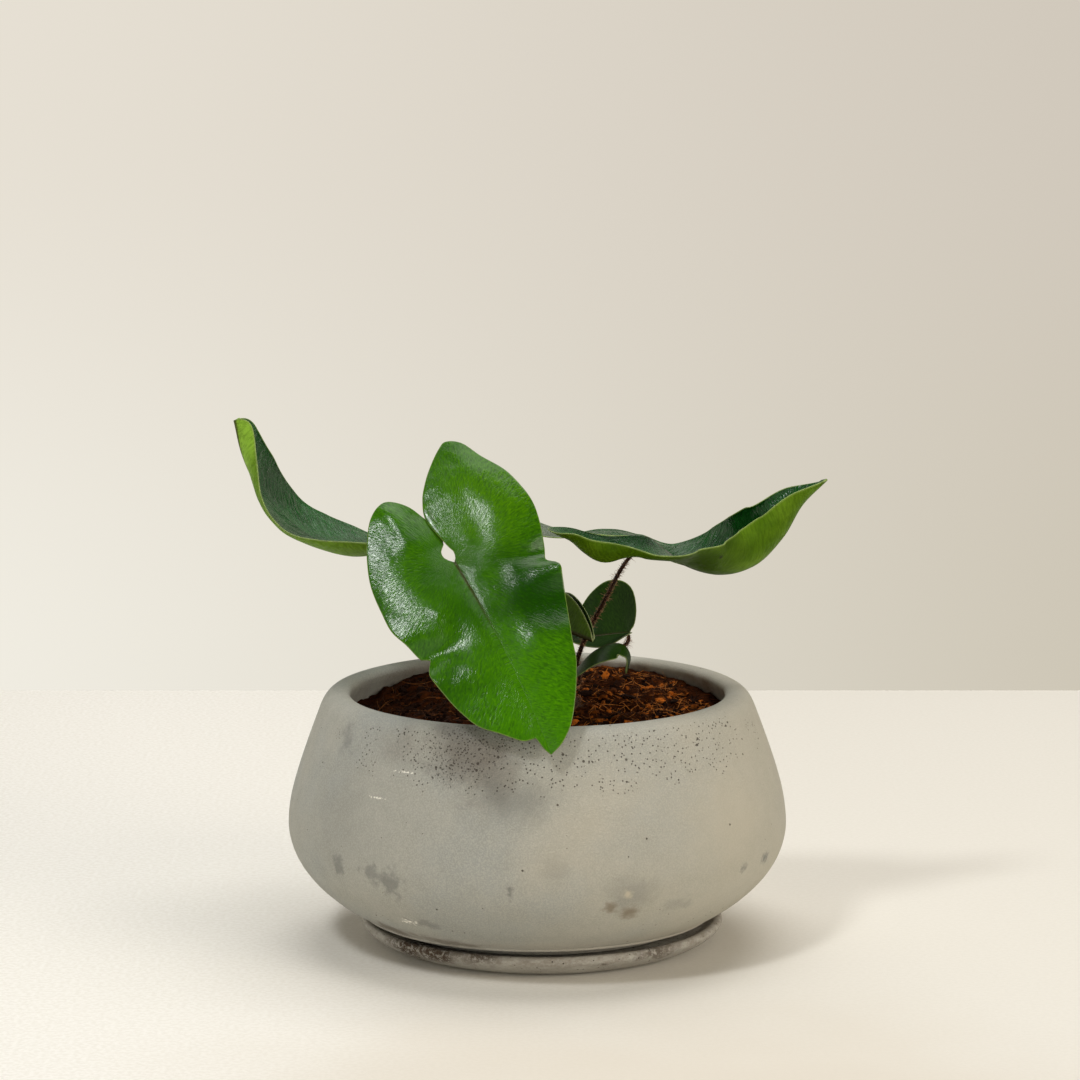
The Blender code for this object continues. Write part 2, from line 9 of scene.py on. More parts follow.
import bpy
import numpy as np
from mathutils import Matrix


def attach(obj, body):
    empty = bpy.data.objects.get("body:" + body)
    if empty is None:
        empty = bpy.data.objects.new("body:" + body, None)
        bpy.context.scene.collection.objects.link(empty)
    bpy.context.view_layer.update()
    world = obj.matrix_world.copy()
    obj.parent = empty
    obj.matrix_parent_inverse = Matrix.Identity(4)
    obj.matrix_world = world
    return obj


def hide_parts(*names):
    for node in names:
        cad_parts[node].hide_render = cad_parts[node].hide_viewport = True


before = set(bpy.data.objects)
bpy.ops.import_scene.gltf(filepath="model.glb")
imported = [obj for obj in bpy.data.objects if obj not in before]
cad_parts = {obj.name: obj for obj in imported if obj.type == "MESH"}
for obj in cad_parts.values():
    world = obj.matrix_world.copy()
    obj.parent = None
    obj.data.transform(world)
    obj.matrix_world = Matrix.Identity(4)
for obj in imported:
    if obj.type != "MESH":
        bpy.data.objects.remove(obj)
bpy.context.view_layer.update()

# Saucer: a thin round dish cast in grey concrete, turned upside down out of its mould and
# rubbed round at the rim. It stands free on the table, browned along its upper edge where
# water from the bowl has run down and dried.
MM = 0.001
SAUCER_RADIUS = 47.3
SAUCER_BASE_RADIUS = 39.2
SAUCER_RIM_Z = 6.1
SAUCER_DISH_Z = 4.8
CELLS = 128


def curves(start, *legs):
    """Points on cubic curves that run on from a start, each (handle, handle, end, count)."""
    start, line = np.array(start, float), []
    for *pulls, count in legs:
        first, second, end = (np.array(pull, float) for pull in pulls)
        t = np.linspace(0.0, 1.0, count, endpoint=False)[:, None]
        middle = 3 * t * (1 - t) ** 2 * first + 3 * t**2 * (1 - t) * second
        line.append((1 - t) ** 3 * start + middle + t**3 * end)
        start = end
    return np.vstack(line)


def stacked(*values):
    """Points, or the corners of faces, from one array for each of their columns."""
    return np.stack(np.broadcast_arrays(*values), axis=-1)


def cloud(x, y, size, seed):
    """Smooth random heights from -1 to 1: seeded values on a square lattice, eased between."""
    lattice = np.random.default_rng(seed).uniform(-1.0, 1.0, (CELLS, CELLS))
    u, v = x / size + 5.0 * CELLS, y / size + 5.0 * CELLS
    i, j = np.floor(u).astype(int), np.floor(v).astype(int)
    s, t = u - i, v - j
    s, t = s * s * (3 - 2 * s), t * t * (3 - 2 * t)
    i, j, next_i, next_j = i % CELLS, j % CELLS, (i + 1) % CELLS, (j + 1) % CELLS
    near = (1 - s) * lattice[i, j] + s * lattice[next_i, j]
    far = (1 - s) * lattice[i, next_j] + s * lattice[next_i, next_j]
    return (1 - t) * near + t * far


def ring_faces(rows, turns):
    """Faces between rings of points, one ring after the other, each closed on itself."""
    row, column = np.indices((rows - 1, turns)).reshape(2, -1)
    beside = (column + 1) % turns
    a, b = row * turns, (row + 1) * turns
    return stacked(a + column, a + beside, b + beside, b + column)


def round_angles(count):
    return np.linspace(0.0, 2 * np.pi, count, endpoint=False)


def polar(radius, angle):
    """X and Y of places given by their radius and angle."""
    return radius * np.cos(angle), radius * np.sin(angle)


def thrown(profile, turns, wobble, centre=(0, 0)):
    """Points and faces of a turned form: the (radius, height) profile carried round Z.

    The profile runs from the axis at the bottom to the axis at the top, and the wobble
    of a hand-poured casting, in mm, is added to each radius away from the axis.
    """
    angle = round_angles(turns)
    radius, height = profile[:, :1], profile[:, 1:]
    x, y = polar(radius, angle)
    uneven = cloud(x, height + y, 17.0, 3) + 0.5 * cloud(y, height - x, 6.0, 4)
    radius = radius + wobble * uneven * np.clip(radius / 10.0, 0.0, 1.0)
    x, y = polar(radius, angle)
    points = stacked(x + centre[0], y + centre[1], height)
    return points.reshape(-1, 3), ring_faces(len(profile), turns)


def merged(points, faces, digits):
    """Joins the points that coincide: which to keep, and the faces as triangles between them.

    Faces that lost a side where points met, at a pole or a tip, are left out; the last
    value says which triangles stayed.
    """
    _, first, index = np.unique(np.round(points, digits), axis=0, return_index=True, return_inverse=True)
    faces = index.reshape(-1)[faces]
    if faces.shape[1] == 4:
        faces = np.concatenate([faces[:, [0, 1, 2]], faces[:, [0, 2, 3]]])
    whole = (faces != np.roll(faces, 1, axis=1)).all(axis=1)
    return first, faces[whole], whole


def placed(name, data):
    """A new object that stands in the scene as it was made."""
    item = bpy.data.objects.new(name, data)
    bpy.context.scene.collection.objects.link(item)
    return item


def new_piece(name, points, faces, finishes, stands_for=(), flat=None, which=None, crease=None):
    """Makes a piece from points in mm and faces, and hangs it on the root body."""
    first, faces, whole = merged(points, faces, 5)
    points = np.round(points, 5)[first]
    mesh = bpy.data.meshes.new(name)
    mesh.from_pydata((points * MM).tolist(), [], faces.tolist())
    for finish in finishes:
        mesh.materials.append(finish.material)
    if which is not None:
        which = np.resize(which, len(whole))[whole].astype(np.int32)
        mesh.polygons.foreach_set("material_index", which)
    for key, values in (flat or {}).items():
        corners = values[first][faces.reshape(-1)].astype(np.float32)
        mesh.uv_layers.new(name=key).data.foreach_set("uv", corners.reshape(-1))
    mesh.shade_smooth()
    if crease is not None:
        mesh.set_sharp_from_angle(angle=math.radians(crease))
    mesh.validate()
    item = placed(name, mesh)
    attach(item, "root")
    if stands_for:
        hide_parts(*stands_for)


class Mixture:
    """Values and colours mixed by nodes, for the finish of a surface or the light of the room."""

    def __init__(self, block):
        block.use_nodes = True
        self.tree = block.node_tree

    def wire(self, node, inputs):
        """Links each input to another node's output, or sets it to a value or a colour."""
        for key, value in inputs.items():
            if isinstance(value, bpy.types.NodeSocket):
                self.tree.links.new(value, node.inputs[key])
            else:
                colour = node.inputs[key].type == "RGBA"
                node.inputs[key].default_value = (*value, 1.0) if colour else value

    def add(self, kind, inputs, **options):
        """A new node with its options set and its inputs wired; gives its outputs."""
        node = self.tree.nodes.new("ShaderNode" + kind)
        for key, value in options.items():
            setattr(node, key, value)
        self.wire(node, inputs)
        return node.outputs

    def step(self, value, low, high, start=0.0, end=1.0):
        """Eases from start to end while the value goes from low to high."""
        return self.add("MapRange", {"Value": value, "From Min": low, "From Max": high, "To Min": start,
                                     "To Max": end}, interpolation_type="SMOOTHSTEP")[0]

    def sum(self, first, second, kind="ADD"):
        return self.add("Math", {0: first, 1: second}, operation=kind)[0]

    def times(self, first, second):
        return self.sum(first, second, "MULTIPLY")

    def most(self, first, second):
        return self.sum(first, second, "MAXIMUM")

    def tint(self, share, first, second):
        """Goes from the first colour to the second as share goes from 0 to 1."""
        return self.add("MixRGB", {"Fac": share, "Color1": first, "Color2": second})[0]


class Finish(Mixture):
    """The finish of a surface: its body colour, painted over layer by layer, and its relief."""

    def __init__(self, name):
        self.material = bpy.data.materials.new(name)
        super().__init__(self.material)
        self.shader = self.tree.nodes["Principled BSDF"]
        self.body = None
        metres = self.add("TexCoord", {})["Object"]
        self.place = self.add("VectorMath", {0: metres, 3: 1.0 / MM}, operation="SCALE")[0]

    def axes(self):
        """The place in mm along X, along Y and along Z."""
        return self.add("SeparateXYZ", {0: self.place})

    def flat(self, name):
        """A flat map of the mesh, and its two values."""
        both = self.add("UVMap", {}, uv_map=name)[0]
        return both, *self.add("SeparateXYZ", {0: both})[:2]

    def squeezed(self, vector, scale, shift=(0, 0, 0), turn=(0, 0, 0)):
        return self.add("Mapping", {"Vector": vector, "Scale": scale, "Location": shift, "Rotation": turn})[0]

    def noise(self, across, detail=4.0, at=None, roughness=0.5, distortion=0.0):
        """Cloudy values round 0.5, whose lumps are about so many mm across."""
        return self.add("TexNoise", {"Vector": at or self.place, "Scale": 1.0 / across, "Detail": detail,
                                     "Roughness": roughness, "Distortion": distortion})[0]

    def lumps(self, across, low, high, detail=4.0, **more):
        """The same noise, eased to 0 below a low value and to 1 above a high one."""
        return self.step(self.noise(across, detail, **more), low, high)

    def reach_from(self, vector):
        return self.add("VectorMath", {0: vector}, operation="LENGTH")["Value"]

    def spot(self, centre, reach, stretch=(1, 1, 1), ragged=0.3):
        """1 at a centre in mm, easing to 0 at a reach in mm, with a ragged edge.

        The stretch squeezes it along each axis.
        """
        shift = tuple(-c * s for c, s in zip(centre, stretch))
        away = self.reach_from(self.squeezed(self.place, stretch, shift))
        edge = self.step(self.noise(reach * 0.6), 0.2, 0.8, -ragged * reach, ragged * reach)
        return self.step(self.sum(away, edge), 0.1 * reach, reach, 1.0, 0.0)

    def pits(self, apart, width, share):
        """1 inside round pits up to width across, apart mm apart, in the given share of places."""
        distance, colour = self.add("TexVoronoi", {"Vector": self.place, "Scale": 1.0 / apart})[:2]
        tone = self.add("SeparateColor", {0: colour})[0]
        size = self.step(tone, 1.0 - share, 1.2 - share, 0.0, 0.5 * width / apart)
        return self.step(self.sum(size, distance, "SUBTRACT"), 0.0, 0.12 * width / apart)

    def paint(self, share, colour, strength=1.0):
        """Covers the body with a colour, as far as a share and a strength say."""
        self.body = self.tint(self.times(share, strength), self.body, colour)

    def paint_spots(self, *marks):
        """Paints ragged spots: place, reach, colour and strength, and if not round the shape."""
        for centre, reach, colour, strength, *shape in marks:
            self.paint(self.spot(centre, reach, *shape), colour, strength)

    def finished(self, roughness, shine, *relief):
        """Wires up the surface, and bumps it by layers of (value, height in mm)."""
        self.wire(self.shader, {"Base Color": self.body, "Roughness": roughness, "Specular IOR Level": shine})
        above = self.shader
        for value, height in reversed([layer for layer in relief if layer[1]]):
            bump = self.tree.nodes.new("ShaderNodeBump")
            self.wire(bump, {"Height": value, "Distance": height * MM, "Strength": 1.0})
            self.wire(above, {"Normal": bump.outputs[0]})
            above = bump


finish = Finish("saucer_concrete_face")
sand = finish.lumps(0.5, 0.3, 0.7, 2)
finish.body = finish.tint(finish.lumps(14, 0.35, 0.65), (0.45, 0.435, 0.39), (0.36, 0.34, 0.3))
finish.paint(sand, (0.52, 0.49, 0.44), 0.45)
streaky = finish.squeezed(finish.place, (1, 1, 2.2))
damp = finish.times(finish.step(finish.axes()[2], 1.6, 6.0, 0.10, 0.60),
                    finish.lumps(2.4, 0.38, 0.64, 6, at=streaky, roughness=0.75))
finish.paint(damp, (0.2, 0.165, 0.125))
gritty = finish.lumps(1.1, 0.38, 0.54, 5, roughness=0.75)
for centre, reach, share in (
    ((-31, -35.5, 5.8), 15, 1.0),
    ((-15, -44.8, 6.2), 9, 0.8),
    ((15.5, -44.6, 3.6), 1.9, 0.9),
    ((29, -37.4, 5.2), 7.5, 0.8),
):
    mark = finish.times(finish.spot(centre, reach, (0.8, 0.8, 2.6), 0.35), gritty)
    finish.paint(mark, (0.07, 0.046, 0.03), share)
holes = finish.pits(1.3, 0.45, 0.55)
finish.paint(holes, (0.05, 0.037, 0.027))
finish.finished(0.86, 0.3, (sand, 0.05), (finish.times(holes, -1.0), 0.22))

RIM_CORNER = (SAUCER_RADIUS, SAUCER_RIM_Z - 1.4)
RIM_TOP = (SAUCER_RADIUS - 1.2, SAUCER_RIM_Z)
DISH_EDGE = (SAUCER_RADIUS - 4.6, SAUCER_DISH_Z)
dish = np.vstack([
    [(0, 0), (20, 0), (38.4, 0)],
    curves((SAUCER_BASE_RADIUS, 0),
           ((SAUCER_BASE_RADIUS + 3.4, 0.5), (SAUCER_RADIUS - 0.6, 3), RIM_CORNER, 14),
           ((SAUCER_RADIUS, SAUCER_RIM_Z - 0.5), (SAUCER_RADIUS - 0.3, SAUCER_RIM_Z), RIM_TOP, 8),
           ((SAUCER_RADIUS - 2.2, SAUCER_RIM_Z), (SAUCER_RADIUS - 2.6, SAUCER_DISH_Z + 0.6), DISH_EDGE, 10)),
    [DISH_EDGE, (20, SAUCER_DISH_Z), (0, SAUCER_DISH_Z)],
])
points, faces = thrown(dish, 224, 0.09)
new_piece("saucer_dish", points, faces, [finish], ["saucer"], crease=50)

# Bowl: one heavy casting of fine grey concrete with a full belly and a rolled lip. The mould
# was filled upside down, so air has left pinholes under the lip. It stands on the saucer by
# its foot ring and has a drain hole in its floor.
POT_SHIFT = -1.3
BOWL_RADIUS = 65.1
WIDEST_Z = 31.0
FOOT_Z = 5.1
BASE_RADIUS = 46.4
BASE_Z = 7.4
LIP_TOP = (51.8, 66.2)
LIP_OUTSIDE = (56.8, 61.4)
LIP_INSIDE = (48.8, 64)
WALL = 6.0
BOWL_FLOOR_Z = 15.0


def inner_side(clearance, floor_z):
    """The bowl's inner wall from its floor up to the lip, moved in by a clearance."""
    lip = (LIP_INSIDE[0] - clearance, LIP_INSIDE[1])
    belly = (BOWL_RADIUS - WALL - clearance, WIDEST_Z + 2.0)
    low = (BASE_RADIUS - WALL - clearance, floor_z)
    return curves(low, ((low[0] + 8, floor_z), (belly[0], 22), belly, 16),
                  ((belly[0], 43), (lip[0] + 5.5, 54), lip, 30))


BASE_EDGE = (BASE_RADIUS, BASE_Z + 0.7)
BELLY = (BOWL_RADIUS, WIDEST_Z)
casting = np.vstack([
    [(5, BOWL_FLOOR_Z), (5, 9), (5.4, BASE_Z - 1), (20, BASE_Z - 1), (36.4, BASE_Z - 1)],
    [(37, FOOT_Z + 0.3), (37.3, FOOT_Z), (40.1, FOOT_Z), (40.4, FOOT_Z + 0.3)],
    [(41, BASE_Z), (43, BASE_Z)],
    curves((BASE_RADIUS - 0.8, BASE_Z),
           ((BASE_RADIUS - 0.3, BASE_Z), (BASE_RADIUS, BASE_Z + 0.3), BASE_EDGE, 5),
           ((BASE_RADIUS + 10.5, 13.4), (BOWL_RADIUS, 22), BELLY, 40),
           ((BOWL_RADIUS, 39.5), (LIP_OUTSIDE[0] + 4.6, 49), LIP_OUTSIDE, 40),
           ((LIP_OUTSIDE[0] - 1, LIP_OUTSIDE[1] + 2.7), (LIP_TOP[0] + 2.6, LIP_TOP[1]), LIP_TOP, 16),
           ((LIP_TOP[0] - 2, LIP_TOP[1]), (LIP_INSIDE[0] - 0.1, LIP_INSIDE[1] + 1.6), LIP_INSIDE, 10)),
    inner_side(0, BOWL_FLOOR_Z)[::-1],
    [(20, BOWL_FLOOR_Z), (5, BOWL_FLOOR_Z)],
])

finish = Finish("cast_concrete_face")
mottle = finish.lumps(6, 0.34, 0.68, 6, roughness=0.65)
sand = finish.lumps(0.42, 0.40, 0.64, 3, roughness=0.7)
side, depth, height = finish.axes()
radius = finish.reach_from(finish.squeezed(finish.place, (1, 1, 0), (-POT_SHIFT, 0, 0)))
finish.body = finish.tint(finish.lumps(30, 0.38, 0.62), (0.33, 0.338, 0.313), (0.372, 0.364, 0.318))
finish.paint(mottle, (0.285, 0.285, 0.245), 0.30)
finish.paint(sand, (0.53, 0.51, 0.44), 0.46)
# Painted light: the right side of the bowl is painted warmer and lighter, where the warm lamp at the right
# falls.
finish.paint(finish.step(side, -10, 62), (0.47, 0.43, 0.335), 0.5)
# Painted light: the downturned band just above the foot is painted lighter and warmer, to lift the shade
# under the belly.
finish.paint(finish.step(height, 13, 8.6), (0.5, 0.45, 0.38), 0.35)

# Smudges where wet mix, water and fingers have touched the casting, one soft grey mark that is
# painted shadow under the front blade's tip, and at the end three scratches, in the left
# shoulder and above the foot, filled with white dust.
BROWN, RUST = (0.095, 0.066, 0.043), (0.2, 0.165, 0.115)
SMUDGE_AND_SHADE_GREY, BUFF, DUST = (0.16, 0.165, 0.15), (0.5, 0.45, 0.35), (0.86, 0.83, 0.74)
finish.paint_spots(
    ((-20, -53.5, 61.5), 12.5, BROWN, 0.52, (0.75, 0.8, 1.25), 0.25),
    ((-13.5, -57.5, 55), 11.0, BROWN, 0.42, (0.9, 0.8, 1), 0.3),
    # Painted shadow: a soft grey shade on the bowl under the front blade's tip, below the brown marks.
    ((-7.5, -60.5, 49.5), 12.0, SMUDGE_AND_SHADE_GREY, 0.45, (0.8, 0.8, 1.2), 0.2),
    ((-36, -46, 60.5), 9.0, BROWN, 0.2, (0.7, 0.8, 1.4), 0.3),
    ((-49.5, -31.5, 59), 4.5, SMUDGE_AND_SHADE_GREY, 0.45, (1.6, 0.8, 0.8), 0.45),
    ((-52, -40, 40), 16.0, SMUDGE_AND_SHADE_GREY, 0.16, (0.9, 0.8, 0.7), 0.2),
    ((-51.5, -41, 28.5), 3.0, SMUDGE_AND_SHADE_GREY, 0.55, (1, 0.8, 0.8), 0.5),
    ((-42.5, -50, 28.7), 4.0, SMUDGE_AND_SHADE_GREY, 0.55, (0.8, 0.8, 1.2), 0.55),
    ((-38, -53, 27), 4.4, SMUDGE_AND_SHADE_GREY, 0.6, (1, 0.8, 0.8), 0.55),
    ((-8, -64, 27.4), 2.0, SMUDGE_AND_SHADE_GREY, 0.75, (1.5, 0.8, 0.7), 0.45),
    ((2.8, -64.5, 33.5), 5.0, SMUDGE_AND_SHADE_GREY, 0.32, (0.9, 0.8, 1), 0.35),
    ((-29, -50, 16), 4.5, SMUDGE_AND_SHADE_GREY, 0.5, (0.6, 0.8, 1.8), 0.45),
    ((22, -60, 26), 7.5, SMUDGE_AND_SHADE_GREY, 0.38, (0.8, 0.8, 1), 0.2),
    ((16.8, -60, 22.4), 2.4, RUST, 0.8, (0.9, 0.8, 0.9), 0.3),
    ((21.5, -57.5, 20.4), 3.6, RUST, 0.85, (0.8, 0.8, 1.2), 0.25),
    ((21.1, -60.2, 25.8), 1.9, BUFF, 0.95, (1, 0.8, 1), 0.25),
    ((34, -51.5, 21), 4.5, SMUDGE_AND_SHADE_GREY, 0.28, (0.7, 0.8, 1.6), 0.45),
    ((56.7, -28.7, 27.8), 2.3, SMUDGE_AND_SHADE_GREY, 0.85, (0.8, 0.8, 1), 0.35),
    ((50.9, -38.5, 27.4), 1.8, SMUDGE_AND_SHADE_GREY, 0.6, (1, 0.8, 1), 0.35),
    ((44, -42, 29), 2.0, SMUDGE_AND_SHADE_GREY, 0.3, (1, 0.8, 0.8), 0.35),
    ((14, -58.5, 50), 16.0, BUFF, 0.22, (0.8, 0.8, 1.2), 0.25),
    ((6, -64, 38), 17.0, BUFF, 0.3, (0.8, 0.8, 1.3), 0.25),
    ((46, -40, 42), 18.0, BUFF, 0.3, (0.8, 0.8, 1), 0.25),
    ((-39, -34, 9.5), 9.0, BROWN, 0.65, (0.7, 0.8, 2.4), 0.45),
    ((-24, -43, 9), 7.0, BROWN, 0.55, (0.6, 0.8, 2.6), 0.45),
    ((-41.3, -47.3, 47.4), 1.3, DUST, 1, (0.4, 0.5, 4), 0.8),
    ((-34.5, -49.6, 54.4), 1.2, DUST, 1, (0.35, 0.5, 3.6), 0.8),
    ((-33, -47.4, 15.8), 1.4, DUST, 1, (0.5, 0.5, 1.6), 0.8),
)

# Pinholes: crowded under the lip at the front, a row above the foot, and a few elsewhere.
lip_zone = finish.times(finish.step(height, 48, 59), finish.step(height, 64.2, 65.2, 1, 0))
front = finish.times(finish.step(depth, -40, -25, 1, 0.25), finish.step(side, -46, -26, 0.3, 1))
thin_out = finish.step(finish.noise(9), 0.35, 0.65, -0.30, 0.30)
thin_out = finish.sum(thin_out, finish.times(lip_zone, front))
stained = finish.spot((-19, -54, 60.5), 15, (0.75, 0.8, 1.25), 0.25)
crowded = finish.most(finish.step(thin_out, 0.30, 0.50), stained)
row = finish.times(finish.step(height, 13.2, 14.2), finish.step(height, 16, 17, 1, 0))
holes = finish.most(finish.pits(4.3, 0.62, 0.35), finish.pits(2.1, 0.34, 0.30))
for pinholes, where in (
    (finish.pits(0.90, 0.45, 0.80), crowded),
    (finish.pits(0.65, 0.40, 0.95), stained),
    (finish.pits(2.6, 0.78, 0.45), crowded),
    (finish.pits(1.6, 0.46, 0.6), row),
):
    holes = finish.most(holes, finish.times(pinholes, where))
finish.paint(holes, (0.045, 0.034, 0.024), 0.80)

# The inside is painted brown from just under the lip, darker towards the mix, in patches that thin out at the
# left.
within = finish.step(radius, 52.6, 54.2, 1, 0)
below_lip = finish.times(finish.step(height, 63.5, 66.3, 0.95, 0), finish.step(height, 30, 40))
patchy_less_left = finish.times(finish.step(finish.noise(9), 0.3, 0.66, 0.45, 1), finish.step(side, -46, -20, 0.25, 1))
inside_brown = finish.tint(mottle, (0.26, 0.185, 0.125), (0.13, 0.08, 0.048))
finish.paint(finish.times(finish.times(within, below_lip), patchy_less_left), inside_brown)
finish.finished(finish.step(mottle, 0, 1, 0.74, 0.88), 0.35, (finish.noise(12, 3), 0.4), (sand, 0.05),
                (finish.times(holes, -1.0), 0.3))

points, faces = thrown(np.vstack([casting, casting[:1]]), 300, 0.10, (POT_SHIFT, 0.0))
new_piece("bowl_casting", points, faces, [finish], ["bowl"], crease=55)

# Potting mix: loose coconut coir with bark crumbs, filled by hand to just under the lip and
# left hollow at the left. The mass is one closed body; loose bits lie on top of it.
MIX_EDGE_Z = 58.8
CROWN_PLACE = np.array([5.0, 5.0])
CROWN = CROWN_PLACE + (POT_SHIFT, 0.0)
CLEARANCE = 0.3
CROWN_RADIUS = 6.4
CROWN_TOP_Z = 64.0
CROWN_DEPTH = 11.0


def bell(value, width):
    """A bell curve: 1 at 0, and down to 0.37 at the width."""
    return np.exp(-((value / width) ** 2))


def mix_level(x, y):
    """Height of the mix: a mound at the crown, a bank at the back, a hollow at the left."""
    x = x - POT_SHIFT
    mound = 2.2 * bell(np.hypot(x - 5.0, y - 5.0), 16.0)
    bank = 4.3 * (0.5 + 0.5 * np.sin(np.pi * (np.clip(y, 0.0, 46.0) / 46.0 - 0.5)))
    dip = -2.4 * np.exp(-((x + 46.0) ** 2 + (y - 14.0) ** 2) / 260.0)
    relief = np.sin(0.41 * x + 1.3) * np.cos(0.37 * y - 0.4) + 0.7 * np.sin(0.23 * x - 0.52 * y)
    calm = np.clip((50.0 - np.hypot(x, y)) / 12.0, 0.2, 1.0)
    return MIX_EDGE_Z + mound + bank + dip + 0.7 * relief * calm


def mix_top(x, y):
    """The level of the mix with its crumbs, and the plain hole that the crown stands in."""
    crumbs = 0.55 * cloud(x, y, 3.4, 11) + 0.45 * cloud(x, y, 1.7, 12) + 0.25 * cloud(x, y, 0.8, 13)
    from_crown = np.hypot(x - CROWN[0], y - CROWN[1])
    level = mix_level(x, y) + crumbs
    return np.where(from_crown < CROWN_RADIUS + CLEARANCE, CROWN_TOP_Z - CROWN_DEPTH - CLEARANCE, level)


def dryness(finish, damp, dry):
    """Eases from a damp value at the left of the bowl to a dry one at the right."""
    return finish.step(finish.axes()[0], -30, 32, damp, dry)


MIX_TURNS = 260
MIX_FLOOR_Z = BOWL_FLOOR_Z + CLEARANCE
side_wall = inner_side(CLEARANCE, MIX_FLOOR_Z)
angle = round_angles(MIX_TURNS)
x, y = polar(48.0, angle)
edge_level = mix_level(x + POT_SHIFT, y)
edge_radius = np.interp(edge_level, side_wall[:, 1], side_wall[:, 0]) - 0.15
share = np.linspace(0.0, 1.0, 150)[:, None]
x, y = polar(share * edge_radius, angle)
top = stacked(x + POT_SHIFT, y, mix_top(x + POT_SHIFT, y))
depth = np.linspace(0.0, 1.0, 14)[:, None]
wall_z = (1 - depth) * (edge_level - 0.8) + depth * MIX_FLOOR_Z
wall_r = np.interp(wall_z, side_wall[:, 1], side_wall[:, 0]) - 0.15
x, y = polar(wall_r, angle)
around = stacked(x + POT_SHIFT, y, wall_z)
bottom = stacked(0.0 * angle + POT_SHIFT, 0.0, MIX_FLOOR_Z)[None]
skin = np.concatenate([bottom, around[::-1], top[::-1]])

finish = Finish("potting_mix_crumb")
lumps = finish.lumps(2.6, 0.32, 0.72, 6, roughness=0.7)
slanted = finish.squeezed(finish.place, (0.25, 1.5, 1), turn=(0.3, 0.2, 0.9))
strands = finish.lumps(1, 0.48, 0.7, 5, at=slanted, roughness=0.7)
finish.body = finish.tint(lumps, (0.007, 0.0018, 0.0005), (0.075, 0.018, 0.003))
finish.paint(finish.times(strands, dryness(finish, 0.2, 0.9)), (0.2, 0.05, 0.008))
finish.finished(0.95, 0.05, (lumps, 0.8), (strands, 0.3))
new_piece("mix_fill", skin.reshape(-1, 3), ring_faces(len(skin), MIX_TURNS), [finish],
          ["potting_mix"])


# Coir fibres: stiff brown hairs of coconut husk, 3 to 16 mm long, that lie on the mix in all
# directions, some with an end that has sprung up. They are only pressed in.
ODD_DIRECTION = (0.31, 0.17, 0.93)


def unit(vectors, least=1e-12):
    """The directions of vectors; one shorter than least comes out near 0."""
    return vectors / (np.linalg.norm(vectors, axis=-1, keepdims=True) + least)


def strands_along(paths, radii, sides=3):
    """Points and faces of many thin closed strands, one path and one row of radii each.

    A ring of sides points stands square to the path at each of its points, and the two ends
    are drawn together to a point.
    """
    count, steps = paths.shape[:2]
    ahead = unit(np.gradient(paths, axis=1), 1e-9)
    first = unit(np.cross(ahead, ODD_DIRECTION), 1e-9)
    second = np.cross(ahead, first)
    turn = round_angles(sides)[:, None]
    ring = np.cos(turn) * first[:, :, None] + np.sin(turn) * second[:, :, None]
    points = paths[:, :, None] + radii[:, :, None, None] * ring
    faces = ring_faces(steps, sides) + steps * sides * np.arange(count)[:, None, None]
    return points.reshape(-1, 3), faces.reshape(-1, 4)


def scatter(rng, count, reach):
    """Random places on the mix, evenly spread over a disc, clear of the crown."""
    turn = rng.uniform(0, 2 * np.pi, 2 * count)
    x, y = polar(reach * np.sqrt(rng.uniform(0, 1, 2 * count)), turn)
    x = x + POT_SHIFT
    clear = np.hypot(x - CROWN[0], y - CROWN[1]) > CROWN_RADIUS + 1.0
    return x[clear][:count], y[clear][:count]


def shades(values, count):
    """A flat map that gives each point of the same strand or crumb one random shade."""
    return stacked(np.repeat(values, count), 0.5)


rng = np.random.default_rng(41)
FIBRES, BENDS = 2600, 6
FIBRE_REACH = 47.0
x, y = scatter(rng, FIBRES, 46.0)
length = 2.5 + 5.0 * rng.beta(1.2, 3.0, FIBRES)
length += 7.0 * (rng.uniform(0, 1, FIBRES) > 0.9) * rng.uniform(0.3, 1.0, FIBRES)
heading = rng.uniform(0, 2 * np.pi, FIBRES)[:, None]
heading = heading + rng.normal(0, 0.8, FIBRES)[:, None] * np.linspace(-0.5, 0.5, BENDS)
pace = (length / (BENDS - 1))[:, None]
px = x[:, None] + np.cumsum(np.cos(heading) * pace, axis=1)
py = y[:, None] + np.cumsum(np.sin(heading) * pace, axis=1)
kept_in = np.minimum(1.0, FIBRE_REACH / np.hypot(px - POT_SHIFT, py))
px, py = (px - POT_SHIFT) * kept_in + POT_SHIFT, py * kept_in
sprung = rng.uniform(0, 1, FIBRES) > 0.75
lift = np.where(sprung, rng.uniform(0.5, 2.2, FIBRES), rng.uniform(-0.3, 0.5, FIBRES))
ends = np.linspace(0.0, 1.0, BENDS) ** 2
pz = mix_level(px, py) + 0.25 + 0.4 * cloud(px, py, 2.2, 21) + lift[:, None] * ends
thick = (0.05 + 0.10 * rng.beta(1.5, 3.0, FIBRES))[:, None] * np.array([0.0, 1.0, 1.0, 0.9, 0.7, 0.0])
points, faces = strands_along(stacked(px, py, pz), thick)
finish = Finish("coir_fibre")
tone = finish.times(finish.flat("shade")[1], dryness(finish, 0.55, 1.45))
finish.body = finish.tint(finish.step(tone, 0.2, 0.95), (0.025, 0.006, 0.001), (0.78, 0.27, 0.05))
finish.paint(finish.lumps(0.9, 0.35, 0.7, 3), (0.05, 0.018, 0.008), 0.55)
finish.finished(0.72, 0.15, (finish.noise(0.25), 0.05))
new_piece("coir_fibres", points, faces, [finish],
          flat={"shade": shades(rng.beta(1.2, 2.2, FIBRES), BENDS * 3)})

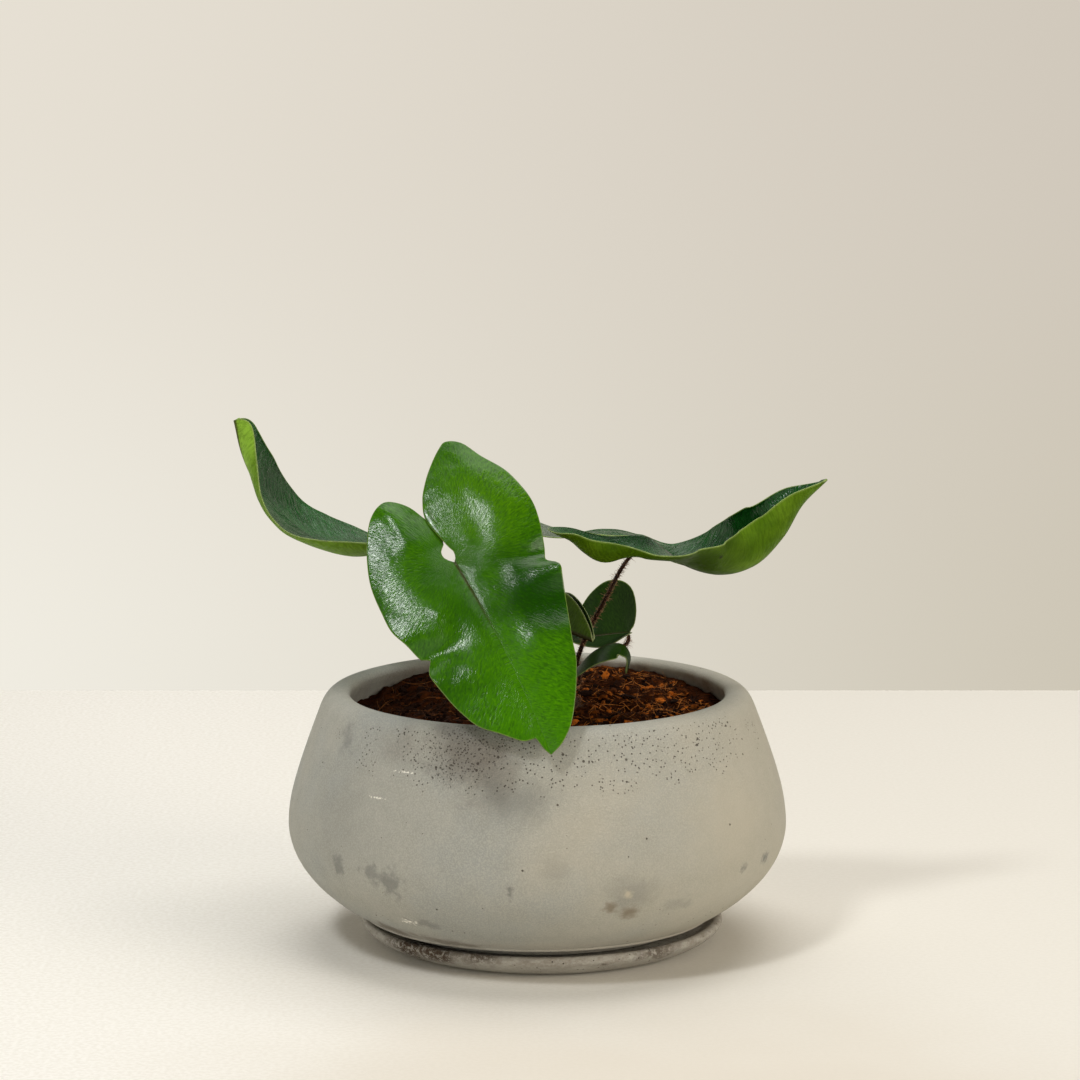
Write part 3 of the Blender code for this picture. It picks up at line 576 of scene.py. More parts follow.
# Crumbs and bark chips: broken bits of husk and bark from dust to 4 mm, dark when damp and
# orange-brown where they have dried, lying loose among the fibres.
rng = np.random.default_rng(43)
CRUMBS = 3400
golden = (1 + math.sqrt(5)) / 2
knob = np.array([(-1, golden, 0), (1, golden, 0), (-1, -golden, 0), (1, -golden, 0),
                 (0, -1, golden), (0, 1, golden), (0, -1, -golden), (0, 1, -golden),
                 (golden, 0, -1), (golden, 0, 1), (-golden, 0, -1), (-golden, 0, 1)])
knob = knob / np.linalg.norm(knob[0])
knob_faces = np.array([(0, 11, 5), (0, 5, 1), (0, 1, 7), (0, 7, 10), (0, 10, 11), (1, 5, 9), (5, 11, 4),
                       (11, 10, 2), (10, 7, 6), (7, 1, 8), (3, 9, 4), (3, 4, 2), (3, 2, 6), (3, 6, 8),
                       (3, 8, 9), (4, 9, 5), (2, 4, 11), (6, 2, 10), (8, 6, 7), (9, 8, 1)])
x, y = scatter(rng, CRUMBS, 46.4)
size = 0.28 + 0.9 * rng.beta(1.1, 4.0, CRUMBS) + 1.0 * (rng.uniform(0, 1, CRUMBS) > 0.94)
axes_of = size[:, None] * rng.uniform((0.7, 0.4, 0.25), (1.5, 1, 0.7), (CRUMBS, 3))
shape = knob * axes_of[:, None] * rng.uniform(0.75, 1.25, (CRUMBS, 12, 1))
turn = rng.uniform(0, 2 * np.pi, CRUMBS)[:, None]
lean = rng.normal(0, 0.45, CRUMBS)[:, None]
sx, sy, sz = np.moveaxis(shape, -1, 0)
sx, sz = sx * np.cos(lean) + sz * np.sin(lean), sz * np.cos(lean) - sx * np.sin(lean)
shape = stacked(sx * np.cos(turn) - sy * np.sin(turn), sx * np.sin(turn) + sy * np.cos(turn), sz)
level = mix_level(x, y) + 0.25 * size + 0.35 * cloud(x, y, 2.2, 21)
points = shape + stacked(x, y, level)[:, None]
faces = (12 * np.arange(CRUMBS)[:, None, None] + knob_faces).reshape(-1, 3)
finish = Finish("bark_crumb")
tone = finish.times(finish.flat("shade")[1], dryness(finish, 0.55, 1.6))
finish.body = finish.tint(finish.step(tone, 0.25, 1), (0.006, 0.0015, 0.0004), (0.58, 0.15, 0.016))
finish.paint(finish.lumps(0.7, 0.3, 0.7), (0.022, 0.009, 0.005), 0.6)
finish.finished(0.9, 0.05, (finish.noise(0.4), 0.12))
new_piece("bark_crumbs", points.reshape(-1, 3), faces, [finish],
          flat={"shade": shades(rng.beta(1.0, 2.6, CRUMBS), 12)}, crease=35)

# Crown: the short upright rhizome that all the fronds grow from. It is woody, half sunk in
# the mix, and clothed in narrow brown scales.
CROWN_LINE = np.array([(0.0, -CROWN_DEPTH), (3.0, 0.1 - CROWN_DEPTH), (5.2, 1.6 - CROWN_DEPTH),
                       (6.1, 4.0 - CROWN_DEPTH), (6.2, -5), (6, -3.2), (5.2, -1.4), (3.4, -0.4),
                       (1.6, -0.1), (0, 0)]) + (0.0, CROWN_TOP_Z)


def run_along(line):
    """How far along a line each of its points lies."""
    return np.concatenate([[0.0], np.cumsum(np.linalg.norm(np.diff(line, axis=0), axis=1))])


def read_off(at, known, rows):
    """Values between the rows, each column read off where at falls among the known ones."""
    return stacked(*(np.interp(at, known, column) for column in rows.T))


def smooth_line(points, count):
    """Count points, evenly spaced, on a smooth line through the given ones."""
    points = np.array(points, float)
    ends = np.vstack([2 * points[0] - points[1], points, 2 * points[-1] - points[-2]])
    a, b, c, d = (ends[i : len(ends) - 3 + i, None] for i in range(4))
    u = np.linspace(0.0, 1.0, 24, endpoint=False)[None, :, None]
    curve = (2 * a - 5 * b + 4 * c - d) * u**2 + (3 * b - a - 3 * c + d) * u**3
    line = np.vstack([(0.5 * (2 * b + (c - a) * u + curve)).reshape(-1, points.shape[1]), points[-1:]])
    run = run_along(line)
    return read_off(np.linspace(0.0, run[-1], count), run, line)


def bristles(roots, headings, lengths, width, droop):
    """Fine pointed hairs: each leaves its root along its heading and droops by a share of its length."""
    t = np.array([0.0, 0.02, 0.4, 0.75, 1.0])[None, :, None]
    paths = roots[:, None] + headings[:, None] * lengths[:, None, None] * t
    paths[..., 2] -= (droop * lengths)[:, None] * t[..., 0] ** 2
    radii = width * np.array([0.0, 1.0, 0.8, 0.5, 0.0])
    return strands_along(paths, radii * np.ones((len(roots), 1)))


def joined(*meshes):
    """Several (points, faces) as one, and the number of the mesh that each face comes from."""
    starts = np.cumsum([0] + [len(points) for points, _ in meshes])
    faces = np.concatenate([part + start for (_, part), start in zip(meshes, starts)])
    which = np.concatenate([np.full(len(part), i) for i, (_, part) in enumerate(meshes)])
    return np.concatenate([points for points, _ in meshes]), faces, which


def rough_finish(name, across, detail, dark, light, roughness, shine=0.5, relief=0, fine=0, grit=0.5):
    """A plain finish, lumpy between two tones, bumped by its own lumps or by finer ones."""
    finish = Finish(name)
    lumps = finish.lumps(across, 0.3, 0.7, detail, roughness=grit)
    finish.body = finish.tint(lumps, dark, light)
    if fine:
        finish.finished(roughness, shine, (finish.noise(0.5), fine))
    else:
        finish.finished(roughness, shine, (lumps, relief))
    return finish


bark = rough_finish("rhizome_bark", 0.9, 5, (0.016, 0.008, 0.005), (0.085, 0.038, 0.018), 0.8,
                    relief=0.4, grit=0.7)
scale = rough_finish("rhizome_scale", 0.6, 4, (0.06, 0.026, 0.012), (0.22, 0.11, 0.05), 0.65)
rng = np.random.default_rng(45)
crown = thrown(smooth_line(CROWN_LINE, 40), 64, 0.22, CROWN)
SCALES = 520
turn = rng.uniform(0, 2 * np.pi, SCALES)
rise = rng.uniform(0, 1, SCALES)
x, y = polar(np.interp(rise, [0.0, 0.5, 1.0], [6.1, 5.4, 1.0]), turn)
root = stacked(CROWN[0] + x, CROWN[1] + y,
               CROWN_TOP_Z - np.interp(rise, [0.0, 0.5, 1.0], [4.0, 1.6, 0.2]))
heading = stacked(*polar(1.0, turn), rng.uniform(0.3, 1.6, SCALES))
heading = unit(heading + rng.normal(0, 0.35, (SCALES, 3)), 0.0)
scales = bristles(root - 0.2 * heading, heading, rng.uniform(1.0, 2.6, SCALES), 0.11, 0.25)
points, faces, which = joined(crown, scales)
new_piece("crown_rhizome", points, faces, [bark, scale], ["rhizome"], which=which)

# Grown blades: four leathery heart-shaped fronds, thin and undivided, that arch and curl as
# they age. The upper face is glossy green with fine veins that fan out from the stalk, the
# back is paler and dull, and a thin pale margin runs all round.
HEART_HALF = [
    (-5, 1.2), (-12, 2), (-18, 3.4), (-22.6, 7), (-24, 11.5), (-21.6, 16.6), (-16, 20.2), (-8, 22.4),
    (0, 23), (8, 22.4), (16, 21), (24, 19), (32, 16.4), (40, 12.8), (48, 8.6), (54, 4.6), (57.6, 1.7),
    (59, 0),
]
BLUNT_HALF = HEART_HALF[:-3] + [(54, 6.4), (57.6, 4.8), (59.2, 2.8), (59.5, 0)]
FRONT_UPPER_HALF = [
    (-1.2, 0.9), (-3, 1), (-5, 0.2), (-12.8, -1.7), (-18.1, -0.2), (-21.8, 2.2), (-25.6, 5.6),
    (-29.8, 10.2), (-31, 12.8), (-28.8, 16.2), (-23, 18.8), (-17, 22.2), (-12, 23.8), (-7, 24.7),
    (-2, 24.2), (5, 22.4), (9, 21), (12.3, 23.2), (16, 22.4), (24, 20), (31.5, 17.8), (37, 16.4),
    (43, 13.6), (48, 10.6), (52, 7.6), (55.2, 3.6), (56.6, 0),
]
FRONT_LOWER_HALF = [
    (-0.8, 1.2), (-2.2, 2.2), (-4, 2), (-6, 0.3), (-9, 0.2), (-12.4, 1.2), (-18, 4.2), (-21.6, 8),
    (-21.6, 11), (-19, 14.4), (-14, 17.6), (-8, 20.4), (-2, 22.1), (5.5, 22.5), (11, 22.2), (16, 20.2),
    (20.5, 18.2), (21.6, 16.3), (24, 17.6), (27, 18.2), (33.5, 16.6), (38, 15), (42.5, 12.8),
    (46.5, 8.8), (50.6, 4.6), (51, 1.8), (54.6, 0.9), (56.6, 0),
]
# Each frond's midrib is given as distances from the stalk with the point there, its two halves
# as distances with the angle in degrees and the curl per metre at which the half leaves the
# midrib. Ripples are (half, place, width, height) and folds (half, start, end, width, height).
FRONDS = {
    "front": {
        "outline": {"left": FRONT_UPPER_HALF, "right": FRONT_LOWER_HALF},
        "midrib": [
            (-32, -35, -17.5, 128.5), (-15, -27.4, -27.2, 116.8), (0, -20.7, -35, 105),
            (18, -13.2, -44.6, 91.8), (38, -4.8, -55, 76.6), (57, 3.6, -62.4, 61.4),
        ],
        "across": (0.904, 0.226, 0.364),
        "left": [
            (-32, 8, -18), (-4, 12, -15), (6, 10, -13), (16, 2, -6), (40, 4, -12), (57, 6, -20),
        ],
        "right": [
            (-32, 8, -20), (0, 16, -24), (9, 15, -22), (18, 5, -6), (30, 2, -8), (40, 5, -16),
            (57, 6, -20),
        ],
        "ripples": [
            ("left", 7, 3.5, -1.6), ("left", 14, 4, 1.4), ("right", 21, 3.5, -1.8),
            ("right", 29, 5, 1.2), ("right", 51, 3, -1),
        ],
        "folds": [
            ("right", (22, 16.8), (12, 10.5), 2.2, 0.5), ("right", (31, 8.5), (17, 1), 6.2, 0.5),
            ("left", (10.5, 22), (8, 13), 2.8, 0.85), ("left", (28.5, 17), (26.5, 10), 4.0, 0.5),
            ("right", (-6.5, -0.5), (-15, 1), 2.6, -0.95), ("left", (-7, -1), (-15, -1.5), 2.2, 0.35),
            ("right", (-18, 9.5), (-9, 8.5), 2.6, 0.75), ("left", (-3, 8.5), (-24, 10.5), 3.4, -0.4),
        ],
        "bow": 1.3,
        "stalk": [(3, 1, 75), (-6, -14, 93), (-15, -27, 102)],
    },
    "right": {
        "lobes": {"left": 0.74, "right": 1.08},
        "midrib": [
            (-24, 5.7, -8, 113.5), (-12, 17, -8, 109.5), (0, 28.6, -8, 107.2), (10, 36.6, -7.6, 101.4),
            (20, 46, -7, 98.2), (30, 55.6, -6.5, 100.2), (40, 62.8, -6, 107.2), (50, 68, -5.5, 115.8),
            (59, 74.3, -5, 122),
        ],
        "across": (0, 1, 0),
        "right": [
            (-24, -36, 55), (-19, -46, 75), (-15, -66, 102), (-11, -82, 124), (-7, -52, 78),
            (-3, -34, 49), (0, -30, 43), (10, 0, 31), (20, -5, 67), (30, -2, 94), (40, 0, 136),
            (50, 0, 185), (59, 8, 200),
        ],
        "left": [
            (-24, -44, 56), (-12, -37, 52), (0, -32, 40), (10, -21, 38), (20, -8, 64), (30, 4, 91),
            (40, 20, 133), (50, 10, 177), (59, 8, 200),
        ],
        "lip": {"left": 1.0},
        "stalk": [(12, 2, 78), (18, -3, 91), (22.5, -6, 100)],
    },
    "left": {
        "outline": {"left": BLUNT_HALF, "right": BLUNT_HALF},
        "lobes": {"left": 0.52, "right": 0.52},
        "midrib": [
            (-24, -15.8, 25, 103.9), (-12, -27.7, 25, 102.3), (0, -39.6, 25, 100.6),
            (10, -49.4, 25, 99.4), (20, -58.8, 25, 101.6), (30, -66.8, 25, 107.6),
            (40, -73.4, 25, 115.2), (50, -77.8, 25, 124.4), (59, -79.8, 25, 133),
        ],
        "across": (0, -1, 0),
        "right": [
            (-24, -35, 51), (-12, -32, 41), (0, -27, 33), (10, -13, 34), (20, -8, 40), (30, -9, 51),
            (40, 3, 70), (50, 32, 91), (59, 50, 100),
        ],
        "left": [
            (-24, -34, 53), (-12, -25, 44), (0, -17, 39), (10, -12, 40), (20, -10, 34), (30, -19, 36),
            (40, -15, 54), (50, 14, 78), (59, 50, 100),
        ],
        "lip": {"right": 1.0},
        "stalk": [(-4, 10, 78), (-18, 18, 91), (-31, 23, 97)],
    },
    "back": {
        "scale": (0.86, 0.8),
        "midrib": [
            (-22, -1, 26, 102), (0, -9, 44, 102), (18, -16, 60, 101), (34, -21, 73.5, 99),
            (51, -25, 87, 95),
        ],
        "across": (-0.9, -0.38, 0.16),
        "right": [(-22, 4, 2), (0, 4, -2), (25, 10, -4), (51, 8, -4)],
        "left": [(-22, 4, 2), (0, 4, 2), (25, 10, -4), (51, 8, -4)],
        "ripples": [("left", 10, 6, 1.2), ("right", 22, 6, 1.2)],
        "stalk": [(3, 14, 77), (0, 27, 89), (-6, 38, 96)],
    },
}


def along_rows(rows, along):
    """Smooth values at the distances along, from rows that each start with their distance."""
    rows = np.array(rows, float)
    x, y = rows[:, 0], rows[:, 1:]
    slope = np.gradient(y, x, axis=0)
    inside = np.clip(along, x[0], x[-1])
    k = np.clip(np.searchsorted(x, inside, side="right") - 1, 0, len(x) - 2)
    width = (x[k + 1] - x[k])[..., None]
    t = (inside - x[k])[..., None] / width
    value = (1 + 2 * t) * (1 - t) ** 2 * y[k] + t**2 * (3 - 2 * t) * y[k + 1]
    value += width * (t * (1 - t) ** 2 * slope[k] + t**2 * (t - 1) * slope[k + 1])
    beyond = (along - inside)[..., None]
    return value + beyond * np.where(beyond < 0, slope[0], slope[-1])


def midrib_at(frond, along):
    """The midrib's point, the direction to its left and the one up from its face."""
    point = along_rows(frond["midrib"], along)
    ahead = unit(along_rows(frond["midrib"], along + 0.5) - along_rows(frond["midrib"], along - 0.5))
    left = np.array(frond["across"]) * np.ones_like(point)
    left = unit(left - (left * ahead).sum(-1, keepdims=True) * ahead)
    return point, left, np.cross(ahead, left)


def half_outline(frond, side):
    """The smooth outline of one half laid flat: (along, across) from the notch round to the tip."""
    outline = np.array(frond.get("outline", {}).get(side, HEART_HALF))
    outline = np.array(frond.get("scale", (1, 1))) * outline
    lobe = frond.get("lobes", {}).get(side, 1.0)
    outline[:, 0] = np.where(outline[:, 0] < 0.0, lobe * outline[:, 0], outline[:, 0])
    return smooth_line(outline, 480)


# Which way each half lies from the midrib.
TURN = {"left": 1.0, "right": -1.0}
FAR = 9.0
LEFT_VEINS = 40.0


def bow_of(frond, side, along):
    """How far the midrib swings into this half: a half wave from the stalk to the tip."""
    wave = np.sin(np.pi * np.clip(along / 57.0, 0.0, 1.0))
    return TURN[side] * frond.get("bow", 0.0) * wave


def flat_half(frond, side, line, step, columns):
    """Flat points of one half, in rows square to the midrib from the lobe's end to the tip.

    A row runs from the midrib, or behind the stalk from the notch, out to the margin. Rows
    lie closer towards the lobe's end and the tip, and points closer towards a row's ends.
    """
    last = np.argmin(line[:, 0])
    back, front = line[last, 0], line[-1, 0]
    behind = back * np.sin(np.linspace(math.pi / 2, 0.0, 1 + int(-back / step), endpoint=False))
    ahead = front * (1.0 - np.linspace(1.0, 0.0, 2 + int(front / step)) ** 1.35)
    along = np.concatenate([behind, ahead])
    notch = np.vstack([line[last::-1], [(0, 0)]])
    inner = np.interp(along, notch[:, 0], notch[:, 1]) + bow_of(frond, side, along)
    outer = np.interp(along, line[last:, 0], line[last:, 1])
    share = np.linspace(0.0, 1.0, columns + 1)
    share = share - 0.05 * np.sin(2 * np.pi * share)
    across = inner[:, None] + (outer - inner)[:, None] * share
    return stacked(along[:, None], across)


def bent(frond, side, flat, margin):
    """Carries flat points of one half onto the curled blade, with its ripples and folds.

    The half leaves the midrib at an angle and goes on in an arc. A fold is a rounded ridge, or
    a furrow, along a short line. A narrow groove follows the midrib, the tissue swells a little
    between its main veins, and the margin rolls back by the depth of its lip.
    """
    along = flat[..., 0]
    turn = TURN[side]
    swing = bow_of(frond, side, along)
    across = flat[..., 1] - swing
    point, left, up = midrib_at(frond, along)
    point = point + turn * swing[..., None] * left
    angle, curl = np.moveaxis(along_rows(np.array(frond[side], float) / (1, 1, 1000), along), -1, 0)
    angle = np.radians(angle)
    curl = np.where(np.abs(curl) < 1e-4, 1e-4, curl)
    out = (np.sin(angle + curl * across) - np.sin(angle)) / curl
    rise = (np.cos(angle) - np.cos(angle + curl * across)) / curl
    for half, place, width, height in frond.get("ripples", []):
        if half == side:
            rise = rise + height * bell(along - place, width) * (across / 18.0) ** 2
    for half, start, end, width, height in frond.get("folds", []):
        if half == side:
            line = np.subtract(end, start)
            share = ((along - start[0]) * line[0] + (across - start[1]) * line[1]) / (line @ line)
            share = np.clip(share, 0.0, 1.0)
            away = np.hypot(along - start[0] - share * line[0], across - start[1] - share * line[1])
            held = np.where(along > 0.0, 1.0 - bell(across, 2.0), 1.0)
            rise = rise + held * height * bell(away, width)
    seed = 5 if side == "left" else 6
    loose = np.clip(across / 6.0, 0.0, 1.0)
    swell = 0.20 * cloud(along, across, 9.0, seed) + 0.05 * cloud(along, across, 3.5, seed + 9)
    groove = frond.get("groove", 0.09) * bell(across, 0.8)
    groove = groove * np.clip((along + 2.0) / 4.0, 0.0, 1.0) * np.clip(2.0 - along / 18.0, 0.0, 1.0)
    rise = rise + loose * swell - groove
    lip = frond.get("lip", {}).get(side, 0.0) * bell(margin, 2.2) * loose
    out = out + lip * np.sin(angle + curl * across)
    rise = rise - lip * np.cos(angle + curl * across)
    return point + turn * out[..., None] * left + rise[..., None] * up


def vein_map(line, flat):
    """Which vein each flat point lies on, and how far out along it.

    Every point of the margin belongs to a straight vein. Round the lobes the veins start at
    the stalk, and towards the tip they leave the midrib further and further on. The vein
    through a point is found by halving, as the one that has the point on its line. Both
    values are in cm, the first measured along the margin.
    """
    flat = np.maximum(flat, (-99, 0))
    length = line[-1, 0]
    bare = 0.37 * length
    root = length * (np.clip(line[:, 0] - bare, 0.0, None) / (length - bare)) ** 1.15
    root = np.where(np.arange(len(line)) < np.argmax(line[:, 1]), 0.0, root)
    low, high = np.zeros(flat.shape[:-1]), np.full(flat.shape[:-1], len(line) - 1.0)
    index = np.arange(len(line))
    for _ in range(22):
        guess = (low + high) / 2
        ends = read_off(guess, index, line)
        start = np.interp(guess, index, root)
        facing = (ends[..., 0] - start) * flat[..., 1] - ends[..., 1] * (flat[..., 0] - start)
        low, high = np.where(facing > 0, low, guess), np.where(facing > 0, guess, high)
    start = np.interp(low, index, root)
    ends = read_off(low, index, line)
    reach = np.hypot(flat[..., 0] - start, flat[..., 1])
    return stacked(np.interp(low, index, run_along(line)), reach) / 10.0


def margin_distance(line, flat):
    """Distance in mm from each flat point to the outline of its half, and FAR at most."""
    points = flat.reshape(-1, 2)
    nearest = np.full(len(points), FAR)
    for part in np.array_split(line, 12):
        away = np.hypot(points[:, :1] - part[:, 0], points[:, 1:] - part[:, 1])
        nearest = np.minimum(nearest, away.min(axis=1))
    return nearest.reshape(flat.shape[:-1])


def make_blade(name, frond, step, columns, finishes, thick=(0.55, 0.3)):
    """A blade as one closed sheet: an upper face, a lower face and the margin between them.

    The lower face is set back by the thickness, which falls from the midrib to the margin,
    and a rounded rib stands out of it.
    """
    sheets, faces, start = [], [], 0
    for side in ("right", "left"):
        line = half_outline(frond, side)
        flat = flat_half(frond, side, line, step, columns)
        margin = margin_distance(line, flat)
        margin = np.where((flat[..., 1] < 1.5) & (flat[..., 0] >= 0), FAR, margin)
        grid = bent(frond, side, flat, margin)
        normal = unit(TURN[side] * np.cross(np.gradient(grid, axis=0), np.gradient(grid, axis=1)))
        normal[0], normal[-1] = normal[1], normal[-2]
        veins = vein_map(line, flat) + (LEFT_VEINS if side == "left" else 0.0, 0.0)
        field = stacked(margin, flat[..., 1] - bow_of(frond, side, flat[..., 0]), flat[..., 0])
        sheets.append(np.concatenate([grid, normal, veins, field], axis=-1))
        row, column = np.indices((len(grid) - 1, columns)).reshape(2, -1)
        a = start + row * (columns + 1) + column
        b = a + columns + 1
        quad = stacked(a, a + 1, b + 1, b)
        faces.append(quad if side == "right" else quad[:, [0, 3, 2, 1]])
        start += flat.size // 2
    # Along the midrib, ahead of the stalk, both halves take the same direction.
    ahead = min(int((sheet[:, 0, -1] >= 0).sum()) for sheet in sheets)
    first, second = (sheet[-ahead:, 0, 3:6] for sheet in sheets)
    first[:] = second[:] = unit(first + second)
    sheet = np.concatenate([sheet.reshape(-1, 11) for sheet in sheets])
    first, corners, _ = merged(sheet[:, :3], np.concatenate(faces), 4)
    upper, normal, veins, field = np.split(sheet[first], [3, 6, 8], axis=1)
    margin, across, along = field.T
    count = len(upper)
    sides = np.concatenate([corners[:, [0, 1]], corners[:, [1, 2]], corners[:, [2, 0]]])
    rim = sides[~np.isin(sides[:, 0] * count + sides[:, 1], sides[:, 1] * count + sides[:, 0])]
    rib = frond.get("rib", 0.35) * bell(across, 0.7) * np.clip((along + 1.5) / 3.0, 0.0, 1.0)
    rib = rib * np.clip(1.15 - along / along.max(), 0.0, 1.0)
    depth = thick[1] + (thick[0] - thick[1]) * np.clip(margin / 2.5, 0.0, 1.0) + rib
    lower = upper - depth[:, None] * normal
    middle = (upper + lower) / 2
    inward = np.zeros_like(upper)
    tangent = unit(upper[rim[:, 1]] - upper[rim[:, 0]])
    outward = np.cross(tangent, normal[rim[:, 0]])
    np.add.at(inward, rim[:, 0], outward)
    np.add.at(inward, rim[:, 1], outward)
    middle = middle + 0.12 * unit(inward) * (np.abs(inward).sum(axis=1) > 0)[:, None]
    points = np.concatenate([upper, lower, middle])
    i, j = rim.T
    below_i, below_j, mid_i, mid_j = i + count, j + count, i + 2 * count, j + 2 * count
    walls = np.concatenate([stacked(j, i, mid_i), stacked(j, mid_i, mid_j),
                            stacked(mid_j, mid_i, below_i), stacked(mid_j, below_i, below_j)])
    faces = np.concatenate([corners, corners[:, ::-1] + count, walls])
    which = np.repeat([0, 1, 2], [len(corners), len(corners), len(walls)])
    used = np.unique(faces)
    renumber = np.zeros(len(points), int)
    renumber[used] = np.arange(len(used))
    flats = {"veins": veins, "edge": stacked(margin, across) / 10, "reach": stacked(along, across) / 10}
    flats = {key: np.tile(values, (3, 1))[used] for key, values in flats.items()}
    shifted = points[used] + (POT_SHIFT, 0.0, 0.0)
    new_piece(name, shifted, renumber[faces], finishes, [name], flat=flats, which=which)


def darker(colour, share):
    return tuple(share * value for value in colour)


def blade_face(name, deep, bright, gloss, shine=0.5, ribs=0.0, patches=()):
    """The upper skin: green clouded between two tones, with fine streaks that follow the veins, and any given
    patches of painted light and shade.
    """
    finish = Finish(name)
    veins, _, out = finish.flat("veins")
    _, edge, across = finish.flat("edge")
    along = finish.flat("reach")[1]
    coarse, fine, low = (
        finish.noise(1, 2, finish.squeezed(veins, (wide, long, 1)), 0.55, distortion)
        for wide, long, distortion in ((20, 6.5, 0.5), (38, 9, 0.6), (7, 1.8, 0.8))
    )
    streaks = finish.add("Mix", {0: finish.step(out, 0.2, 1), 2: fine, 3: coarse})[0]
    grain = finish.sum(finish.times(streaks, 0.82), finish.times(finish.noise(0.55, 2), 0.18))
    wide = finish.lumps(13, 0.35, 0.65, 3)
    finish.body = finish.tint(wide, deep, bright)
    finish.paint_spots(*patches)
    finish.paint(finish.step(grain, 0.51, 0.36), darker(deep, 0.42), 0.45)
    light = finish.add("VectorMath", {0: finish.body, 1: (1.9, 1.5, 2.2)}, operation="MULTIPLY")[0]
    finish.paint(finish.step(grain, 0.51, 0.63), light, 0.55)
    finish.paint(finish.step(edge, 0.004, 0.022, 1, 0), (0.16, 0.25, 0.03), 0.55)
    near = finish.times(finish.step(across, 0.012, 0.06, 1, 0), finish.step(along, 0.3, 2.8, 1, 0))
    finish.paint(finish.times(near, finish.step(edge, 0.1, 0.3)), (0.035, 0.022, 0.006), 0.75)
    finish.finished(finish.step(grain, 0.38, 0.62, gloss + 0.05, gloss - 0.02), shine, (wide, 0.1),
                    (low, ribs), (grain, 0.08))
    return finish


def blade_back(name, deep, bright, patches=()):
    """The dull lower skin: olive green, with a low net of veins, faint brown freckles, and any given patches
    of painted light and shade and small marks.
    """
    finish = Finish(name)
    _, edge, across = finish.flat("edge")
    net = finish.noise(1, 3, finish.squeezed(finish.flat("veins")[0], (14, 4, 1)), 0.6)
    finish.body = finish.tint(finish.lumps(9, 0.35, 0.65, 3), deep, bright)
    finish.paint_spots(*patches)
    finish.paint(finish.step(net, 0.60, 0.36), darker(deep, 0.4), 0.35)
    finish.paint(finish.pits(6, 0.45, 0.25), (0.02, 0.017, 0.006), 0.6)
    rib = finish.times(finish.step(across, 0.03, 0.10, 1, 0), finish.step(edge, 0.1, 0.3))
    finish.paint(rib, (0.035, 0.02, 0.008), 0.8)
    finish.paint(finish.step(edge, 0.005, 0.05, 1, 0), (0.22, 0.3, 0.06), 0.5)
    finish.finished(finish.step(net, 0.3, 0.7, 0.62, 0.5), 0.06, (net, 0.15))
    return finish


def blade_edge(name, colour):
    """The thin cartilage margin, pale and slightly uneven in tone."""
    return rough_finish(name, 1.6, 4, colour, darker(colour, 0.6), 0.5)


# Painted light and shade on the front blade's face: brighter patches on the upper lobe, the tip and the top
# of the left lobe, where light falls, and a dark patch of painted shade beside the notch in its right margin.
front_painted_light_and_shade = (
    ((-15, -25, 121), 24, (0.05, 0.16, 0.0006), 0.85),
    ((-4, -57, 73), 27, (0.045, 0.18, 0.0006), 0.9),
    ((-38, -29, 116), 9, (0.036, 0.145, 0.0005), 0.6),
    ((-1, -43, 99), 17, (0.006, 0.042, 0.0003), 0.9),
)
front_skin = [
    blade_face("front_blade_face", (0.02, 0.09, 0.0004), (0.032, 0.125, 0.0005), 0.17, 0.26, 0.05,
               front_painted_light_and_shade),
    blade_back("front_blade_back", (0.06, 0.14, 0.004), (0.1, 0.21, 0.008)),
    blade_edge("front_blade_margin", (0.15, 0.24, 0.03)),
]
# Patches on the backs of the old blades: painted light on the left blade's back and its curled strip, where
# they are lit, a dark patch of painted shade on the right blade's belly, and one small dark spot on that
# belly.
back_painted_light_shade_and_spot = (
    ((-60, 14, 112), 46, (0.15, 0.29, 0.012), 0.9),
    ((-80, 24, 128), 16, (0.25, 0.45, 0.04), 0.9),
    ((40, -20, 103), 17, (0.024, 0.054, 0.0005), 0.85),
    ((45.3, -21.9, 104.2), 0.9, (0.01, 0.008, 0.004), 0.95),
)
dark_skin = [
    blade_face("old_blade_face", (0.003, 0.05, 0.004), (0.008, 0.086, 0.009), 0.26, 0.32, 0.9),
    blade_back("old_blade_back", (0.06, 0.13, 0.001), (0.1, 0.19, 0.006), back_painted_light_shade_and_spot),
    blade_edge("old_blade_margin", (0.22, 0.32, 0.07)),
]
for name, frond in FRONDS.items():
    make_blade(name + "_blade", frond, 0.62, 44, front_skin if name == "front" else dark_skin)

